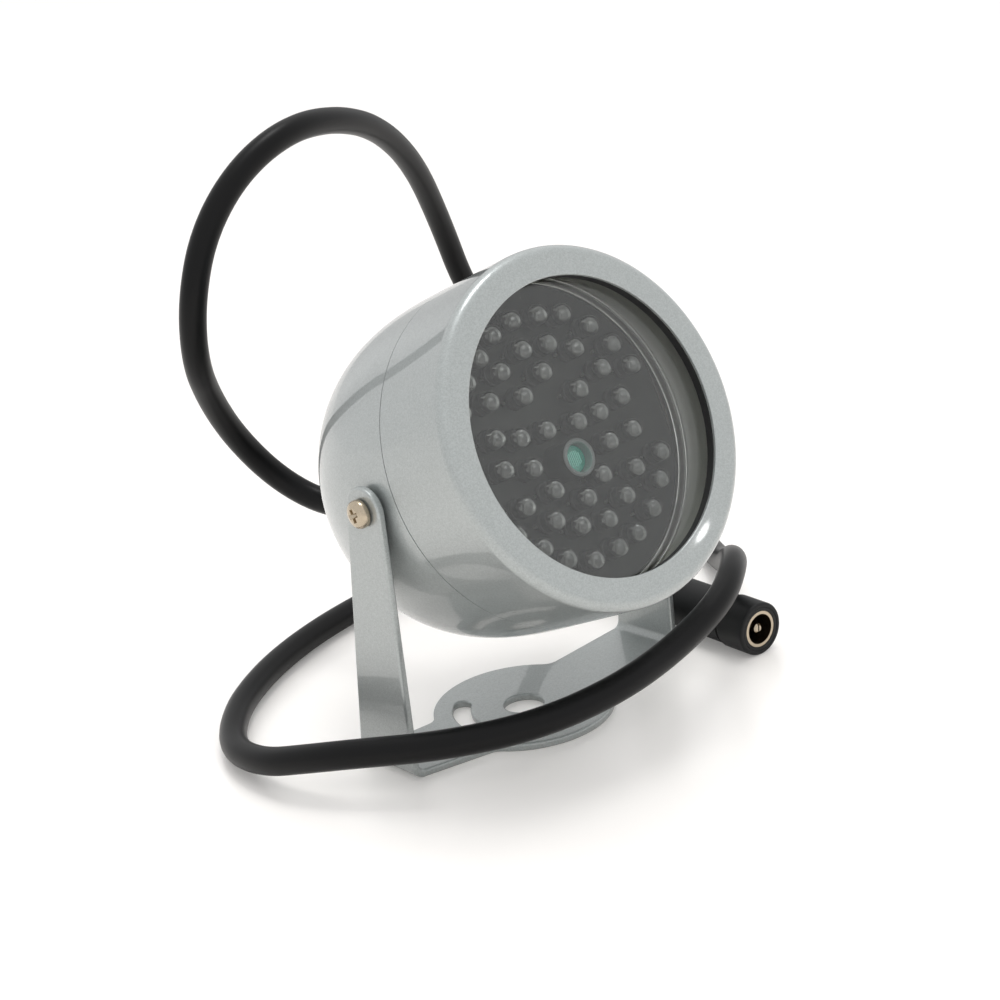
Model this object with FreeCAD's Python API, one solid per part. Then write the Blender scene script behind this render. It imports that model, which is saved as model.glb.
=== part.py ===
"""Infrared illuminator on a U-bracket, in millimetres, +Z up.

The origin is the centre of the base's round hole, on the underside of the base.
+X runs along the pivot screws, and the lamp looks towards -Y, tilted up.
The lamp's pieces are drawn in the lamp's own frame and then placed on the pivot:
there the lamp's axis is the origin's line, s counts forwards along -Y, and up is +Z.
"""

import FreeCAD
import Part
import math
import os

from FreeCAD import Placement, Rotation, Vector

# Bracket: one strip of sheet, bent into a U, with a round base plate
sheet = 1.6
bend_inner_radius = 1.6
leg_gap = 0.6
legs_mid_x = 3.0
leg_base_width = 16.4
leg_base_mid_y = 2.6
leg_top_radius = 4.9
pivot_y = -0.94
pivot_z = 55.12
disc_radius = 18.8
neck_half_width = 9.3
neck_fillet = 3.0
neck_search = 1.0
centre_hole_radius = 4.15
slot_margin = 4.05
slot_width = 3.65
slot_half_angle = 51.0

# Lamp: where it hangs on the pivot
tilt = 23.0
axis_drop = 0.63

# Front barrel with its bezel
barrel_radius = 35.3
barrel_length = 20.2
barrel_wall = 2.5
bezel_width = 6.3
bezel_depth = 0.8
bezel_edge_radius = 2.0
bezel_face_step = 0.15
bezel_lip_chamfer = 0.25
seam_margin = 4.6
spigot_margin = 1.2

# Rear dome
dome_wall = 1.6
dome_end_s = -35.6
dome_fullness = 3.39
dome_roundness = 2.52
dome_sections = 14
seam_gap = 0.35
seam_gasket_recess = 0.6

# Window
gasket_thickness = 2.0
gasket_set_back = 0.1
glass_thickness = 2.0

# Board with its diodes
board_depth = 16.05
board_thickness = 1.6
board_flat_depth = 1.9
board_turn = 2.0
snap_ring_thickness = 1.0
snap_ring_reach = 1.4
rear_ring_reach = 2.4
ring_groove_depth = 0.7
led_radius = 1.9
led_flange_lip = 0.3
led_flange_thickness = 1.0
led_flange_height = 1.8
led_height = 5.2
outer_leds_margin = 8.7
centre_leds_radius = 4.6
lead_width = 0.5
lead_pitch = 2.54

# Photocell in its collar
cell_x = -0.1
cell_up = -4.6
cell_radius = 2.5
cell_thickness = 2.0
cell_recess = 1.8
collar_gap = 0.4
collar_wall = 0.85
collar_height = 7.0

# Parts on the back of the board
resistor_count = 8
resistor_ring_radius = 20.0
resistor_size = (3.2, 1.6, 0.6)
transistor_size = (6.5, 6.1, 2.3)
transistor_place = (9.0, 6.0)
diode_size = (4.3, 2.6, 2.2)
diode_place = (-10.0, 8.0)
capacitor_radius = 3.15
capacitor_height = 7.0
capacitor_place = (-9.0, -7.0)
wire_radius = 0.65
wire_board_place = (3.2, -11.0)
wire_cord_spacing = 2.4
wire_straight = 5.2

# Pivot screws and the bosses that take them
screw_radius = 1.5
screw_head_radius = 2.8
screw_head_height = 1.9
screw_engagement = 7.0
cross_width = 0.8
cross_length = 3.3
cross_depth = 1.2
boss_wall = 1.9

# Cord, its gland and its lead-in
cord_radius = 2.85
gland_wall = 1.15
gland_flange_lip = 1.2
gland_flange_thickness = 1.6
gland_nose_length = 2.8
gland_nose_wall = 0.85
gland_pad_margin = 0.4
cord_inner_length = 14.0
tie_width = 2.5
tie_thickness = 1.2
tie_head = 4.0

# Socket on the cord's end, lying on the surface that the base stands on
jack_face = (47.8, -23.3)
jack_heading = 4.75
jack_radius = 5.8
jack_floor_gap = 0.05
jack_collar_length = 7.5
jack_groove_width = 0.8
jack_groove_depth = 0.35
jack_edge_radius = 0.35
jack_step = 0.3
jack_body_length = 24.0
jack_wall = 1.0
jack_insulator_wall = 0.7
jack_insulator_floor = 2.5
jack_sleeve_wall = 0.65
jack_sleeve_length = 9.5
jack_pin_radius = 1.05
jack_pin_recess = 0.6
jack_pin_slit = 0.35
jack_pin_slit_length = 6.3
relief_length = 18.0
relief_step = 0.9
relief_rear_wall = 0.75
relief_ribs = 5
relief_rib_gap = 1.3
relief_rib_depth = 0.7

# Clearances
running = 0.05
seating = 0.1
swing = 0.3
touch = 0.01

# Diodes of each ring: degrees from the lamp's up towards +X, and how far it stands off its ring
outer_leds = (
    (-62.0, 0.0), (-47.5, 0.0), (-32.9, -0.4), (-18.8, 0.3), (-4.8, 0.5),
    (11.1, 0.3), (24.8, 0.8), (40.8, 0.5), (55.4, 0.0), (69.5, 0.2),
    (114.1, -0.4), (128.0, -0.3), (143.8, -0.1), (160.1, -0.1), (174.3, -0.3),
    (190.1, 0.3), (205.7, 0.0), (219.8, -0.7), (235.0, 0.0), (249.5, 0.0),
)
second_leds = (
    (13.7, 1.0), (34.0, 1.1), (56.6, 0.6), (78.9, -0.1), (101.5, -0.4), (127.2, 0.0),
    (148.8, -0.1), (171.7, 0.4), (194.2, -0.2), (214.7, -0.5), (238.0, 0.3), (264.9, -0.7),
    (285.7, -0.9), (308.9, 0.6), (330.5, 0.8), (353.5, 1.1),
)
third_leds = (
    (2.8, 2.2), (45.0, -0.2), (78.3, -0.5), (111.3, -0.3), (150.1, -0.3),
    (181.3, 1.3), (220.0, 0.1), (252.4, -0.4), (285.7, -0.3), (329.5, 0.7),
)
centre_leds = ((66.0, 0.1), (304.2, -0.1))

# Route of the cord from behind the gland to behind the socket, corner points of its runs
cord_route = (
    (1.8, 53.3, 33.7), (-1.4, 62.2, 35.1), (-6.7, 68.6, 41.5), (-13.5, 70.7, 52.0),
    (-20.7, 66.7, 63.2), (-27.5, 59.2, 74.3), (-28.4, 55.2, 88.0), (-22.9, 55.1, 101.0),
    (-12.4, 55.2, 111.3), (1.1, 55.1, 117.2), (17.8, 60.4, 116.2), (35.1, 68.3, 110.5),
    (51.5, 77.6, 98.7), (65.6, 87.6, 80.7), (73.2, 90.3, 61.9), (80.2, 84.4, 43.5),
    (86.2, 69.9, 24.8), (89.3, 50.8, 9.9), (87.4, 30.9, 2.9), (78.2, 15.7, 3.1),
    (67.5, 3.2, 8.5), (53.5, -11.4, 18.0), (42.2, -22.4, 22.6), (30.5, -29.2, 20.4),
    (13.9, -31.1, 16.4), (-4.2, -32.5, 15.0), (-21.7, -28.5, 13.6), (-35.4, -16.3, 11.5),
    (-45.6, -3.4, 10.4), (-50.2, 5.6, 8.6), (-53.3, 17.9, 5.2), (-51.0, 32.3, 3.2),
    (-39.9, 46.2, 3.0), (-26.0, 55.9, 3.0), (-11.7, 62.5, 3.0), (3.8, 66.9, 3.0),
    (25.7, 70.1, 3.0), (39.3, 65.0, 2.9), (48.6, 52.8, 3.1), (52.1, 37.1, 4.5),
)
cord_first_run = 8.5
cord_last_run = 7.4
cord_lead_points = 5
corner_share = 0.45

# Sizes that follow from the ones above: the bracket
bend_outer_radius = bend_inner_radius + sheet
leg_inner = barrel_radius + leg_gap
half_span = leg_inner + sheet
base_span = 2 * half_span
slot_outer_radius = disc_radius - slot_margin
slot_inner_radius = slot_outer_radius - slot_width
pivot = Vector(legs_mid_x, pivot_y, pivot_z)
boss_radius = screw_radius + boss_wall
boss_face = leg_inner - swing

# The head, from the bosses forwards and from the barrel inwards
seam_s = boss_radius + seam_margin
spigot_end_s = boss_radius + spigot_margin
front_s = seam_s + barrel_length
bezel_back_s = front_s - bezel_depth
gasket_back_s = bezel_back_s - gasket_thickness
glass_back_s = gasket_back_s - glass_thickness
board_front_s = front_s - board_depth
board_back_s = board_front_s - board_thickness
barrel_bore_radius = barrel_radius - barrel_wall
bezel_inner_radius = barrel_radius - bezel_width
gasket_inner_radius = bezel_inner_radius + gasket_set_back
glass_radius = barrel_bore_radius - 3 * seating
board_radius = barrel_bore_radius - 3 * seating
board_flat_distance = board_radius - board_flat_depth
groove_radius = barrel_bore_radius + ring_groove_depth
snap_ring_radius = groove_radius - running
dome_rim_s = seam_s - seam_gap
dome_bore_radius = barrel_radius - dome_wall
spigot_radius = dome_bore_radius - seating

# The diodes' rings, evenly spaced from the board's rim to the middle pair, and the photocell
outer_leds_radius = board_radius - outer_leds_margin
led_ring_pitch = (outer_leds_radius - centre_leds_radius) / 3
third_leds_radius = centre_leds_radius + led_ring_pitch
second_leds_radius = third_leds_radius + led_ring_pitch
led_flange_radius = led_radius + led_flange_lip
collar_inner_radius = cell_radius + collar_gap
collar_outer_radius = collar_inner_radius + collar_wall

# The gland round the cord
gland_neck_radius = cord_radius + gland_wall
gland_flange_radius = gland_neck_radius + gland_flange_lip
gland_nose_radius = cord_radius + gland_nose_wall
gland_pad_radius = gland_flange_radius + gland_pad_margin
gland_seat_s = dome_end_s + 2 * seating
gland_inner_seat_s = gland_seat_s + dome_wall
gland_end_s = gland_seat_s - gland_flange_thickness - gland_nose_length
cord_inner_s = gland_end_s + cord_inner_length

# The socket, from its outside inwards
jack_length = jack_body_length + relief_length
jack_z = jack_radius + jack_floor_gap
jack_body_radius = jack_radius - jack_step
jack_bore_radius = jack_radius - jack_wall
jack_insulator_radius = jack_bore_radius - running
jack_insulator_bore_radius = jack_insulator_radius - jack_insulator_wall
jack_sleeve_outer_radius = jack_insulator_bore_radius - seating
jack_sleeve_inner_radius = jack_sleeve_outer_radius - jack_sleeve_wall
jack_contact_s = jack_sleeve_length + seating
jack_bore_depth = jack_sleeve_length + jack_insulator_floor
jack_pin_length = jack_contact_s - jack_pin_recess
relief_front_radius = jack_body_radius - relief_step
relief_rear_radius = cord_radius + relief_rear_wall


def at(x, s, up):
    """A point of the lamp's own frame: across, forwards along its axis, and up."""
    return Vector(x, -s, up)


def polygon_face(points):
    """A flat face with straight edges through the points."""
    return Part.Face(Part.makePolygon(list(points) + [points[0]]))


def turned(profile):
    """A solid turned about the lamp's axis from (radius, s) corners."""
    face = polygon_face([at(radius, s, 0) for radius, s in profile])
    return face.revolve(Vector(0, 0, 0), Vector(0, 1, 0), 360)


def ring(inner, outer, back_s, front):
    """A flat ring round the lamp's axis between two stations."""
    return turned([(inner, back_s), (outer, back_s), (outer, front), (inner, front)])


def rod(radius, start, end):
    """A round rod between two points."""
    line = end.sub(start)
    return Part.makeCylinder(radius, line.Length, start, line)


def on_pivot(shape):
    """Places a piece from the lamp's own frame on the pivot, at the lamp's tilt."""
    turn = Rotation(Vector(1, 0, 0), -tilt)
    below = turn.multVec(Vector(0, 0, -axis_drop))
    placed = shape.copy()
    placed.Placement = Placement(pivot.add(below), turn).multiply(shape.Placement)
    return placed


def row_point(x, s, up):
    """The place in the object's frame of a point of the lamp's own frame."""
    turn = Rotation(Vector(1, 0, 0), -tilt)
    return pivot.add(turn.multVec(at(x, s, up - axis_drop)))


def base_plan():
    """The base plate: a disc on a strip that widens towards it, filleted where they meet."""
    front = leg_base_mid_y - leg_base_width / 2
    rear = leg_base_mid_y + leg_base_width / 2
    left = legs_mid_x - half_span + bend_outer_radius
    right = legs_mid_x + half_span - bend_outer_radius
    neck_x = math.sqrt(disc_radius**2 - neck_half_width**2)
    corners = [
        (left, front), (-neck_x, -neck_half_width), (neck_x, -neck_half_width), (right, front),
        (right, rear), (neck_x, neck_half_width), (-neck_x, neck_half_width), (left, rear),
    ]
    strip = polygon_face([Vector(x, y, 0) for x, y in corners])
    plate = strip.extrude(Vector(0, 0, sheet))
    plate = plate.fuse(Part.makeCylinder(disc_radius, sheet)).removeSplitter()
    inner_corners = [edge for edge in plate.Edges if is_neck_edge(edge, neck_x)]
    return plate.makeFillet(neck_fillet, inner_corners)


def is_neck_edge(edge, neck_x):
    """True for an upright edge where the strip runs into the disc."""
    start, end = edge.Vertexes[0].Point, edge.Vertexes[-1].Point
    upright = abs(start.z - end.z) > sheet / 2
    off_x = abs(abs(start.x) - neck_x)
    off_y = abs(abs(start.y) - neck_half_width)
    return upright and max(off_x, off_y) < neck_search


def leg_outline():
    """Both legs seen along X: a wide foot, edges tangent to the round top."""
    front = Vector(0, leg_base_mid_y - leg_base_width / 2, bend_outer_radius)
    rear = Vector(0, leg_base_mid_y + leg_base_width / 2, bend_outer_radius)
    centre = Vector(0, pivot_y, pivot_z)
    front_touch = tangent_point(front, centre, leg_top_radius, -1)
    rear_touch = tangent_point(rear, centre, leg_top_radius, 1)
    crown = centre.add(Vector(0, 0, leg_top_radius))
    foot_rear = Vector(0, rear.y, 0)
    foot_front = Vector(0, front.y, 0)
    edges = [
        Part.makeLine(foot_front, front),
        Part.makeLine(front, front_touch),
        Part.Arc(front_touch, crown, rear_touch).toShape(),
        Part.makeLine(rear_touch, rear),
        Part.makeLine(rear, foot_rear),
        Part.makeLine(foot_rear, foot_front),
    ]
    return Part.Face(Part.Wire(edges))


def tangent_point(start, centre, radius, side):
    """Where a line from start touches a circle in the YZ plane, on the side asked for."""
    line = centre.sub(start)
    distance = line.Length
    lean = math.atan2(line.z, line.y) - side * math.asin(radius / distance)
    reach = math.sqrt(distance**2 - radius**2)
    return start.add(Vector(0, reach * math.cos(lean), reach * math.sin(lean)))


def u_section():
    """The bent strip as wide as it can be: a U in the XZ plane, drawn out along Y."""
    width = leg_base_width + 4 * leg_top_radius
    height = pivot_z + 2 * leg_top_radius
    corner = Vector(legs_mid_x - half_span, leg_base_mid_y - width / 2, 0)
    outside = Part.makeBox(base_span, width, height, corner)
    inside_corner = corner.add(Vector(sheet, 0, sheet))
    inside = Part.makeBox(2 * leg_inner, width, height, inside_corner)
    outside = outside.makeFillet(bend_outer_radius, low_edges(outside, 0))
    inside = inside.makeFillet(bend_inner_radius, low_edges(inside, sheet))
    return outside.cut(inside)


def low_edges(box, z):
    """The box's two bottom edges that run along Y."""
    found = []
    for edge in box.Edges:
        start, end = edge.Vertexes[0].Point, edge.Vertexes[-1].Point
        along_y = abs(start.x - end.x) < touch and abs(start.z - end.z) < touch
        if along_y and abs(start.z - z) < touch:
            found.append(edge)
    return found


def arc_slot():
    """The curved slot in the base, concentric with the hole, with round ends."""
    middle = (slot_inner_radius + slot_outer_radius) / 2
    half_width = (slot_outer_radius - slot_inner_radius) / 2
    start = Vector(0, 0, -sheet)
    height = 3 * sheet
    outer = Part.makeCylinder(slot_outer_radius, height, start, Vector(0, 0, 1), 2 * slot_half_angle)
    inner = Part.makeCylinder(slot_inner_radius, 2 * height, start.sub(Vector(0, 0, sheet)))
    slot = outer.cut(inner)
    for angle in (0, 2 * slot_half_angle):
        x = middle * math.cos(math.radians(angle))
        y = middle * math.sin(math.radians(angle))
        slot = slot.fuse(Part.makeCylinder(half_width, height, Vector(x, y, -sheet)))
    slot.rotate(Vector(0, 0, 0), Vector(0, 0, 1), 180 - slot_half_angle)
    return slot


def mounting_bracket():
    """The bent bracket with its base plate, pivot holes, centre hole and curved slot."""
    reach = half_span + sheet
    outline = leg_outline()
    outline.translate(Vector(legs_mid_x - reach, 0, 0))
    legs = u_section().common(outline.extrude(Vector(2 * reach, 0, 0)))
    floor_half = half_span - bend_outer_radius
    depth = leg_base_width * 3
    floor_corner = Vector(legs_mid_x - floor_half, leg_base_mid_y - depth / 2, -sheet)
    legs = legs.cut(Part.makeBox(2 * floor_half, depth, 3 * sheet, floor_corner))
    bracket = legs.fuse(base_plan()).removeSplitter()
    bracket = bracket.cut(Part.makeCylinder(centre_hole_radius, 3 * sheet, Vector(0, 0, -sheet)))
    bracket = bracket.cut(arc_slot())
    hole_start = pivot.sub(Vector(reach, 0, 0))
    hole_end = pivot.add(Vector(reach, 0, 0))
    return bracket.cut(rod(screw_radius + running, hole_start, hole_end))


def front_barrel():
    """The tube with its inturned bezel, two ring grooves and the spigot for the dome."""
    face_edge = barrel_radius - bezel_edge_radius
    outline = [
        (bezel_inner_radius + bezel_lip_chamfer, front_s),
        (face_edge, front_s),
        (face_edge, front_s - bezel_face_step),
    ]
    outline += bezel_round(face_edge)
    outline += [
        (barrel_radius, seam_s),
        (spigot_radius, seam_s),
        (spigot_radius, spigot_end_s),
        (barrel_bore_radius, spigot_end_s),
    ]
    outline += groove_corners(board_back_s - snap_ring_thickness, board_back_s)
    outline += groove_corners(board_front_s, board_front_s + snap_ring_thickness)
    outline += [
        (barrel_bore_radius, bezel_back_s),
        (bezel_inner_radius, bezel_back_s),
        (bezel_inner_radius, front_s - bezel_lip_chamfer),
    ]
    return turned(outline)


def groove_corners(back_s, front):
    """The corners of a ring groove, from its back edge in the bore to its front one."""
    return [
        (barrel_bore_radius, back_s),
        (groove_radius, back_s),
        (groove_radius, front),
        (barrel_bore_radius, front),
    ]


def bezel_round(face_edge):
    """The bezel's rounded outer edge, in short chords from the face to the barrel."""
    points = []
    steps = 6
    start_s = front_s - bezel_face_step
    for step in range(1, steps + 1):
        angle = math.radians(90 * step / steps)
        radius = face_edge + bezel_edge_radius * math.sin(angle)
        points.append((radius, start_s - bezel_edge_radius * (1 - math.cos(angle))))
    return points


def dome_curve(rim_radius, end_s):
    """The dome's profile from its rim to its end, full at the sides and blunt behind."""
    length = dome_rim_s - end_s
    points = []
    for section in range(dome_sections + 1):
        turn = math.pi / 2 * section / dome_sections
        radius = rim_radius * math.cos(turn) ** (2 / dome_roundness)
        points.append(at(radius, dome_rim_s - length * math.sin(turn) ** (2 / dome_fullness), 0))
    points[-1] = at(0, end_s, 0)
    curve = Part.BSplineCurve()
    curve.interpolate(points, InitialTangent=Vector(0, 1, 0), FinalTangent=Vector(-1, 0, 0))
    return curve.toShape()


def dome_solid(rim_radius, end_s):
    """A solid of the dome's form."""
    curve = dome_curve(rim_radius, end_s)
    start, end = curve.Vertexes[0].Point, curve.Vertexes[-1].Point
    centre = at(0, dome_rim_s, 0)
    wire = Part.Wire([curve, Part.makeLine(end, centre), Part.makeLine(centre, start)])
    return Part.Face(wire).revolve(Vector(0, 0, 0), Vector(0, 1, 0), 360)


def rear_dome():
    """The rear shell with its gland seat, and the two bosses tapped for the pivot screws."""
    shell = dome_solid(barrel_radius, dome_end_s)
    seat = ring(0, gland_pad_radius, gland_seat_s, gland_inner_seat_s)
    behind = ring(0, gland_pad_radius, dome_end_s - dome_wall, gland_seat_s)
    shell = shell.cut(dome_solid(dome_bore_radius, dome_end_s + dome_wall))
    shell = shell.cut(behind).fuse(seat)
    shell = shell.cut(ring(0, gland_neck_radius, dome_end_s - dome_wall, gland_inner_seat_s + dome_wall))
    for side in (-1, 1):
        shell = shell.fuse(pivot_boss(side))
    for side in (-1, 1):
        shell = shell.cut(tapped_hole(side))
    return shell.removeSplitter()


def pivot_boss(side):
    """A round boss through the shell on the pivot's line, standing a little proud of it."""
    inner_end = boss_face - screw_engagement
    return rod(boss_radius, at(side * inner_end, 0, axis_drop), at(side * boss_face, 0, axis_drop))


def tapped_hole(side):
    """The hole that takes the pivot screw, open at both ends of the boss."""
    start = at(side * (boss_face - 2 * screw_engagement), 0, axis_drop)
    return rod(screw_radius + running, start, at(side * (boss_face + sheet), 0, axis_drop))


def pivot_screw(side):
    """A pan-head screw with a cross recess, through the leg into the boss."""
    line = Vector(side, 0, 0)
    under_head = at(side * (half_span + swing), 0, axis_drop)
    tip = at(side * (boss_face - screw_engagement + seating), 0, axis_drop)
    shank = rod(screw_radius, tip, under_head)
    head = Part.makeCylinder(screw_head_radius, screw_head_height, under_head, line)
    rim = [edge for edge in head.Edges if is_head_rim(edge, side)]
    head = head.makeFillet(screw_head_height / 2, rim)
    screw = head.fuse(shank)
    for long_side, short_side in ((cross_length, cross_width), (cross_width, cross_length)):
        slot = Part.makeBox(cross_depth, long_side, short_side)
        slot.translate(Vector(-cross_depth / 2, -long_side / 2, -short_side / 2))
        depth = half_span + swing + screw_head_height - cross_depth / 2
        slot.translate(at(side * depth, 0, axis_drop))
        screw = screw.cut(slot)
    return screw.removeSplitter()


def is_head_rim(edge, side):
    """True for the round edge of the screw head that faces outwards."""
    outer_x = half_span + swing + screw_head_height
    return abs(side * edge.BoundBox.Center.x - outer_x) < touch and edge.BoundBox.YLength > screw_head_radius


def led(x, up, front):
    """A diode: domed lens on a flange, standing on its two leads on the board."""
    flange_back = board_front_s + led_flange_height
    flange_front = flange_back + led_flange_thickness
    shoulder = front - led_radius
    quarter = led_radius * math.sin(math.radians(45))
    edges = [
        Part.makeLine(at(0, flange_back, 0), at(led_flange_radius, flange_back, 0)),
        Part.makeLine(at(led_flange_radius, flange_back, 0), at(led_flange_radius, flange_front, 0)),
        Part.makeLine(at(led_flange_radius, flange_front, 0), at(led_radius, flange_front, 0)),
        Part.makeLine(at(led_radius, flange_front, 0), at(led_radius, shoulder, 0)),
        Part.Arc(at(led_radius, shoulder, 0), at(quarter, shoulder + quarter, 0), at(0, front, 0)).toShape(),
        Part.makeLine(at(0, front, 0), at(0, flange_back, 0)),
    ]
    lens = Part.Face(Part.Wire(edges)).revolve(Vector(0, 0, 0), Vector(0, 1, 0), 360)
    for side in (-1, 1):
        lens = lens.fuse(lead(side * lead_pitch / 2, flange_back))
    lens.translate(Vector(x, 0, up))
    return lens


def lead(x, end_s):
    """A square wire lead from the board's face to the piece that it carries."""
    corner = at(x - lead_width / 2, end_s, -lead_width / 2)
    return Part.makeBox(lead_width, end_s - board_front_s, lead_width, corner)


def led_group(places, ring_radius):
    """The diodes of one ring on the board."""
    front = board_front_s + led_flange_height + led_height
    diodes = []
    for angle, offset in places:
        distance = ring_radius + offset
        x = distance * math.sin(math.radians(angle))
        up = distance * math.cos(math.radians(angle))
        diodes.append(led(x, up, front))
    return Part.makeCompound(diodes)


def led_board():
    """The round board, with a flat on each side."""
    board = ring(0, board_radius, board_back_s, board_front_s)
    wide = 2 * board_radius
    corner = Vector(-board_flat_distance, -board_radius, -board_radius)
    keep = Part.makeBox(2 * board_flat_distance, wide, wide, corner)
    keep.rotate(Vector(0, 0, 0), Vector(0, 1, 0), board_turn)
    return board.common(keep)


def photocell():
    """The light-sensing disc on its two leads, sunk in the collar."""
    front = board_front_s + collar_height - cell_recess
    back = front - cell_thickness
    cell = ring(0, cell_radius, back, front)
    for side in (-1, 1):
        cell = cell.fuse(lead(side * lead_pitch / 2, back))
    cell.translate(Vector(cell_x, 0, cell_up))
    return cell


def photocell_collar():
    """The tube round the photocell that keeps the diodes' light off it."""
    collar = ring(collar_inner_radius, collar_outer_radius, board_front_s, board_front_s + collar_height)
    collar.translate(Vector(cell_x, 0, cell_up))
    return collar


def on_board_back(size, x, up):
    """A block part lying on the board's back."""
    width, height, thickness = size
    return Part.makeBox(width, thickness, height, at(x - width / 2, board_back_s, up - height / 2))


def ballast_resistors():
    """Chip resistors spread round the board's back, one for each string of diodes."""
    parts = []
    for number in range(resistor_count):
        part = on_board_back(resistor_size, 0, resistor_ring_radius)
        part.rotate(Vector(0, 0, 0), Vector(0, 1, 0), 360 * number / resistor_count)
        parts.append(part)
    return Part.makeCompound(parts)


def filter_capacitor():
    """The upright capacitor can on the board's back."""
    x, up = capacitor_place
    start = at(x, board_back_s, up)
    return rod(capacitor_radius, start, at(x, board_back_s - capacitor_height, up))


def supply_wires():
    """Two wires from the cord's bared end to the board's back."""
    wires = []
    board_x, board_up = wire_board_place
    for side in (-1, 1):
        start_x = side * wire_cord_spacing / 2
        points = [
            at(start_x, cord_inner_s, 0),
            at(start_x, cord_inner_s + wire_straight, 0),
            at(side * board_x, board_back_s - wire_straight, board_up),
            at(side * board_x, board_back_s, board_up),
        ]
        wires.append(tube(points, wire_radius))
    return Part.makeCompound(wires)


def cable_gland():
    """The rubber gland: a flange on each side of the shell's hole and a tapered nose."""
    bore = cord_radius + running
    neck = gland_neck_radius - running
    return turned([
        (bore, gland_inner_seat_s + gland_flange_thickness),
        (gland_flange_radius, gland_inner_seat_s + gland_flange_thickness),
        (gland_flange_radius, gland_inner_seat_s),
        (neck, gland_inner_seat_s),
        (neck, gland_seat_s),
        (gland_flange_radius, gland_seat_s),
        (gland_flange_radius, gland_seat_s - gland_flange_thickness),
        (gland_nose_radius, gland_end_s),
        (bore, gland_end_s),
    ])


def cord_inner_end():
    """The cord's last stretch, through the gland and into the lamp."""
    return ring(0, cord_radius, gland_end_s, cord_inner_s)


def cable_tie():
    """The tie pulled tight round the cord against the gland, with its square head."""
    back = gland_inner_seat_s + gland_flange_thickness
    band = ring(cord_radius, cord_radius + tie_thickness, back, back + tie_width)
    corner = at(-tie_head / 2, back + tie_width, cord_radius + tie_thickness / 2)
    head = Part.makeBox(tie_head, tie_width, tie_head, corner)
    return band.fuse(head).removeSplitter()


def tube(points, radius):
    """A round tube along straight runs joined by tangent arcs as large as the runs allow."""
    edges = []
    start = points[0]
    for before, corner, after in zip(points, points[1:], points[2:]):
        trim = corner_share * min(corner.sub(before).Length, after.sub(corner).Length)
        entry = towards(corner, before, trim)
        leave = towards(corner, after, trim)
        edges.append(Part.LineSegment(start, entry).toShape())
        edges.append(Part.Arc(entry, arc_middle(entry, corner, leave), leave).toShape())
        start = leave
    edges.append(Part.LineSegment(start, points[-1]).toShape())
    path = Part.Wire(edges)
    heading = points[1].sub(points[0])
    section = Part.Wire([Part.Circle(points[0], heading, radius).toShape()])
    return path.makePipeShell([section], True, False, 1)


def towards(start, goal, distance):
    """The point at that distance from start on the way to goal."""
    line = goal.sub(start)
    return start.add(line.multiply(distance / line.Length))


def arc_middle(entry, corner, leave):
    """The middle of the arc that is tangent to both runs at entry and leave."""
    chord_middle = entry.add(leave).multiply(0.5)
    out = corner.sub(chord_middle)
    half_chord = leave.sub(entry).Length / 2
    half_turn = math.atan2(out.Length, half_chord)
    rise = half_chord * math.tan(half_turn / 2)
    return towards(chord_middle, corner, rise)


def cord_points():
    """The whole route, from the gland's mouth to the back of the socket's strain relief."""
    mouth = row_point(0, gland_end_s, 0)
    straight = row_point(0, gland_end_s - cord_first_run, 0)
    rear = jack_point(jack_length)
    before = jack_point(jack_length + cord_last_run)
    return [mouth, straight] + [Vector(*point) for point in cord_route] + [before, rear]


def cord_pieces():
    """The cord's lead behind the lamp and the rest of it, meeting face to face in mid-run."""
    points = cord_points()
    split = points[cord_lead_points].add(points[cord_lead_points + 1]).multiply(0.5)
    lead_points = points[:cord_lead_points + 1] + [split]
    rest_points = [split] + points[cord_lead_points + 1:]
    return tube(lead_points, cord_radius), tube(rest_points, cord_radius)


def jack_point(distance):
    """A point on the socket's axis, that far behind its front face."""
    turn = math.radians(jack_heading)
    x = jack_face[0] + distance * math.sin(turn)
    y = jack_face[1] + distance * math.cos(turn)
    return Vector(x, y, jack_z)


def on_jack(shape):
    """Places a piece drawn along +Z, from the front face backwards, on the socket's axis."""
    axis = jack_point(1).sub(jack_point(0))
    placed = shape.copy()
    placed.Placement = Placement(jack_point(0), Rotation(Vector(0, 0, 1), axis))
    return placed


def bored_cylinder(outer, inner, start, end):
    """A round sleeve drawn along +Z."""
    sleeve = Part.makeCylinder(outer, end - start, Vector(0, 0, start))
    return sleeve.cut(Part.makeCylinder(inner, end - start, Vector(0, 0, start)))


def jack_housing():
    """The socket's moulded body: a wider collar in front, a groove, then the grip."""
    collar = Part.makeCylinder(jack_radius, jack_collar_length)
    front_rim = [edge for edge in collar.Edges if edge.BoundBox.ZMax < touch]
    collar = collar.makeFillet(jack_edge_radius, front_rim)
    groove_end = jack_collar_length + jack_groove_width
    groove_bottom = jack_body_radius - jack_groove_depth
    groove = Part.makeCylinder(groove_bottom, jack_groove_width, Vector(0, 0, jack_collar_length))
    grip = Part.makeCylinder(jack_body_radius, jack_body_length - groove_end, Vector(0, 0, groove_end))
    body = collar.fuse(groove).fuse(grip).removeSplitter()
    return body.cut(Part.makeCylinder(jack_bore_radius, jack_bore_depth))


def jack_insulator():
    """The moulded insert that holds the contacts in the housing."""
    insert = Part.makeCylinder(jack_insulator_radius, jack_bore_depth - seating, Vector(0, 0, seating))
    return insert.cut(Part.makeCylinder(jack_insulator_bore_radius, jack_contact_s))


def jack_sleeve():
    """The plated ring inside the socket's mouth."""
    return bored_cylinder(jack_sleeve_outer_radius, jack_sleeve_inner_radius, 2 * seating, jack_contact_s)


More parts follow.
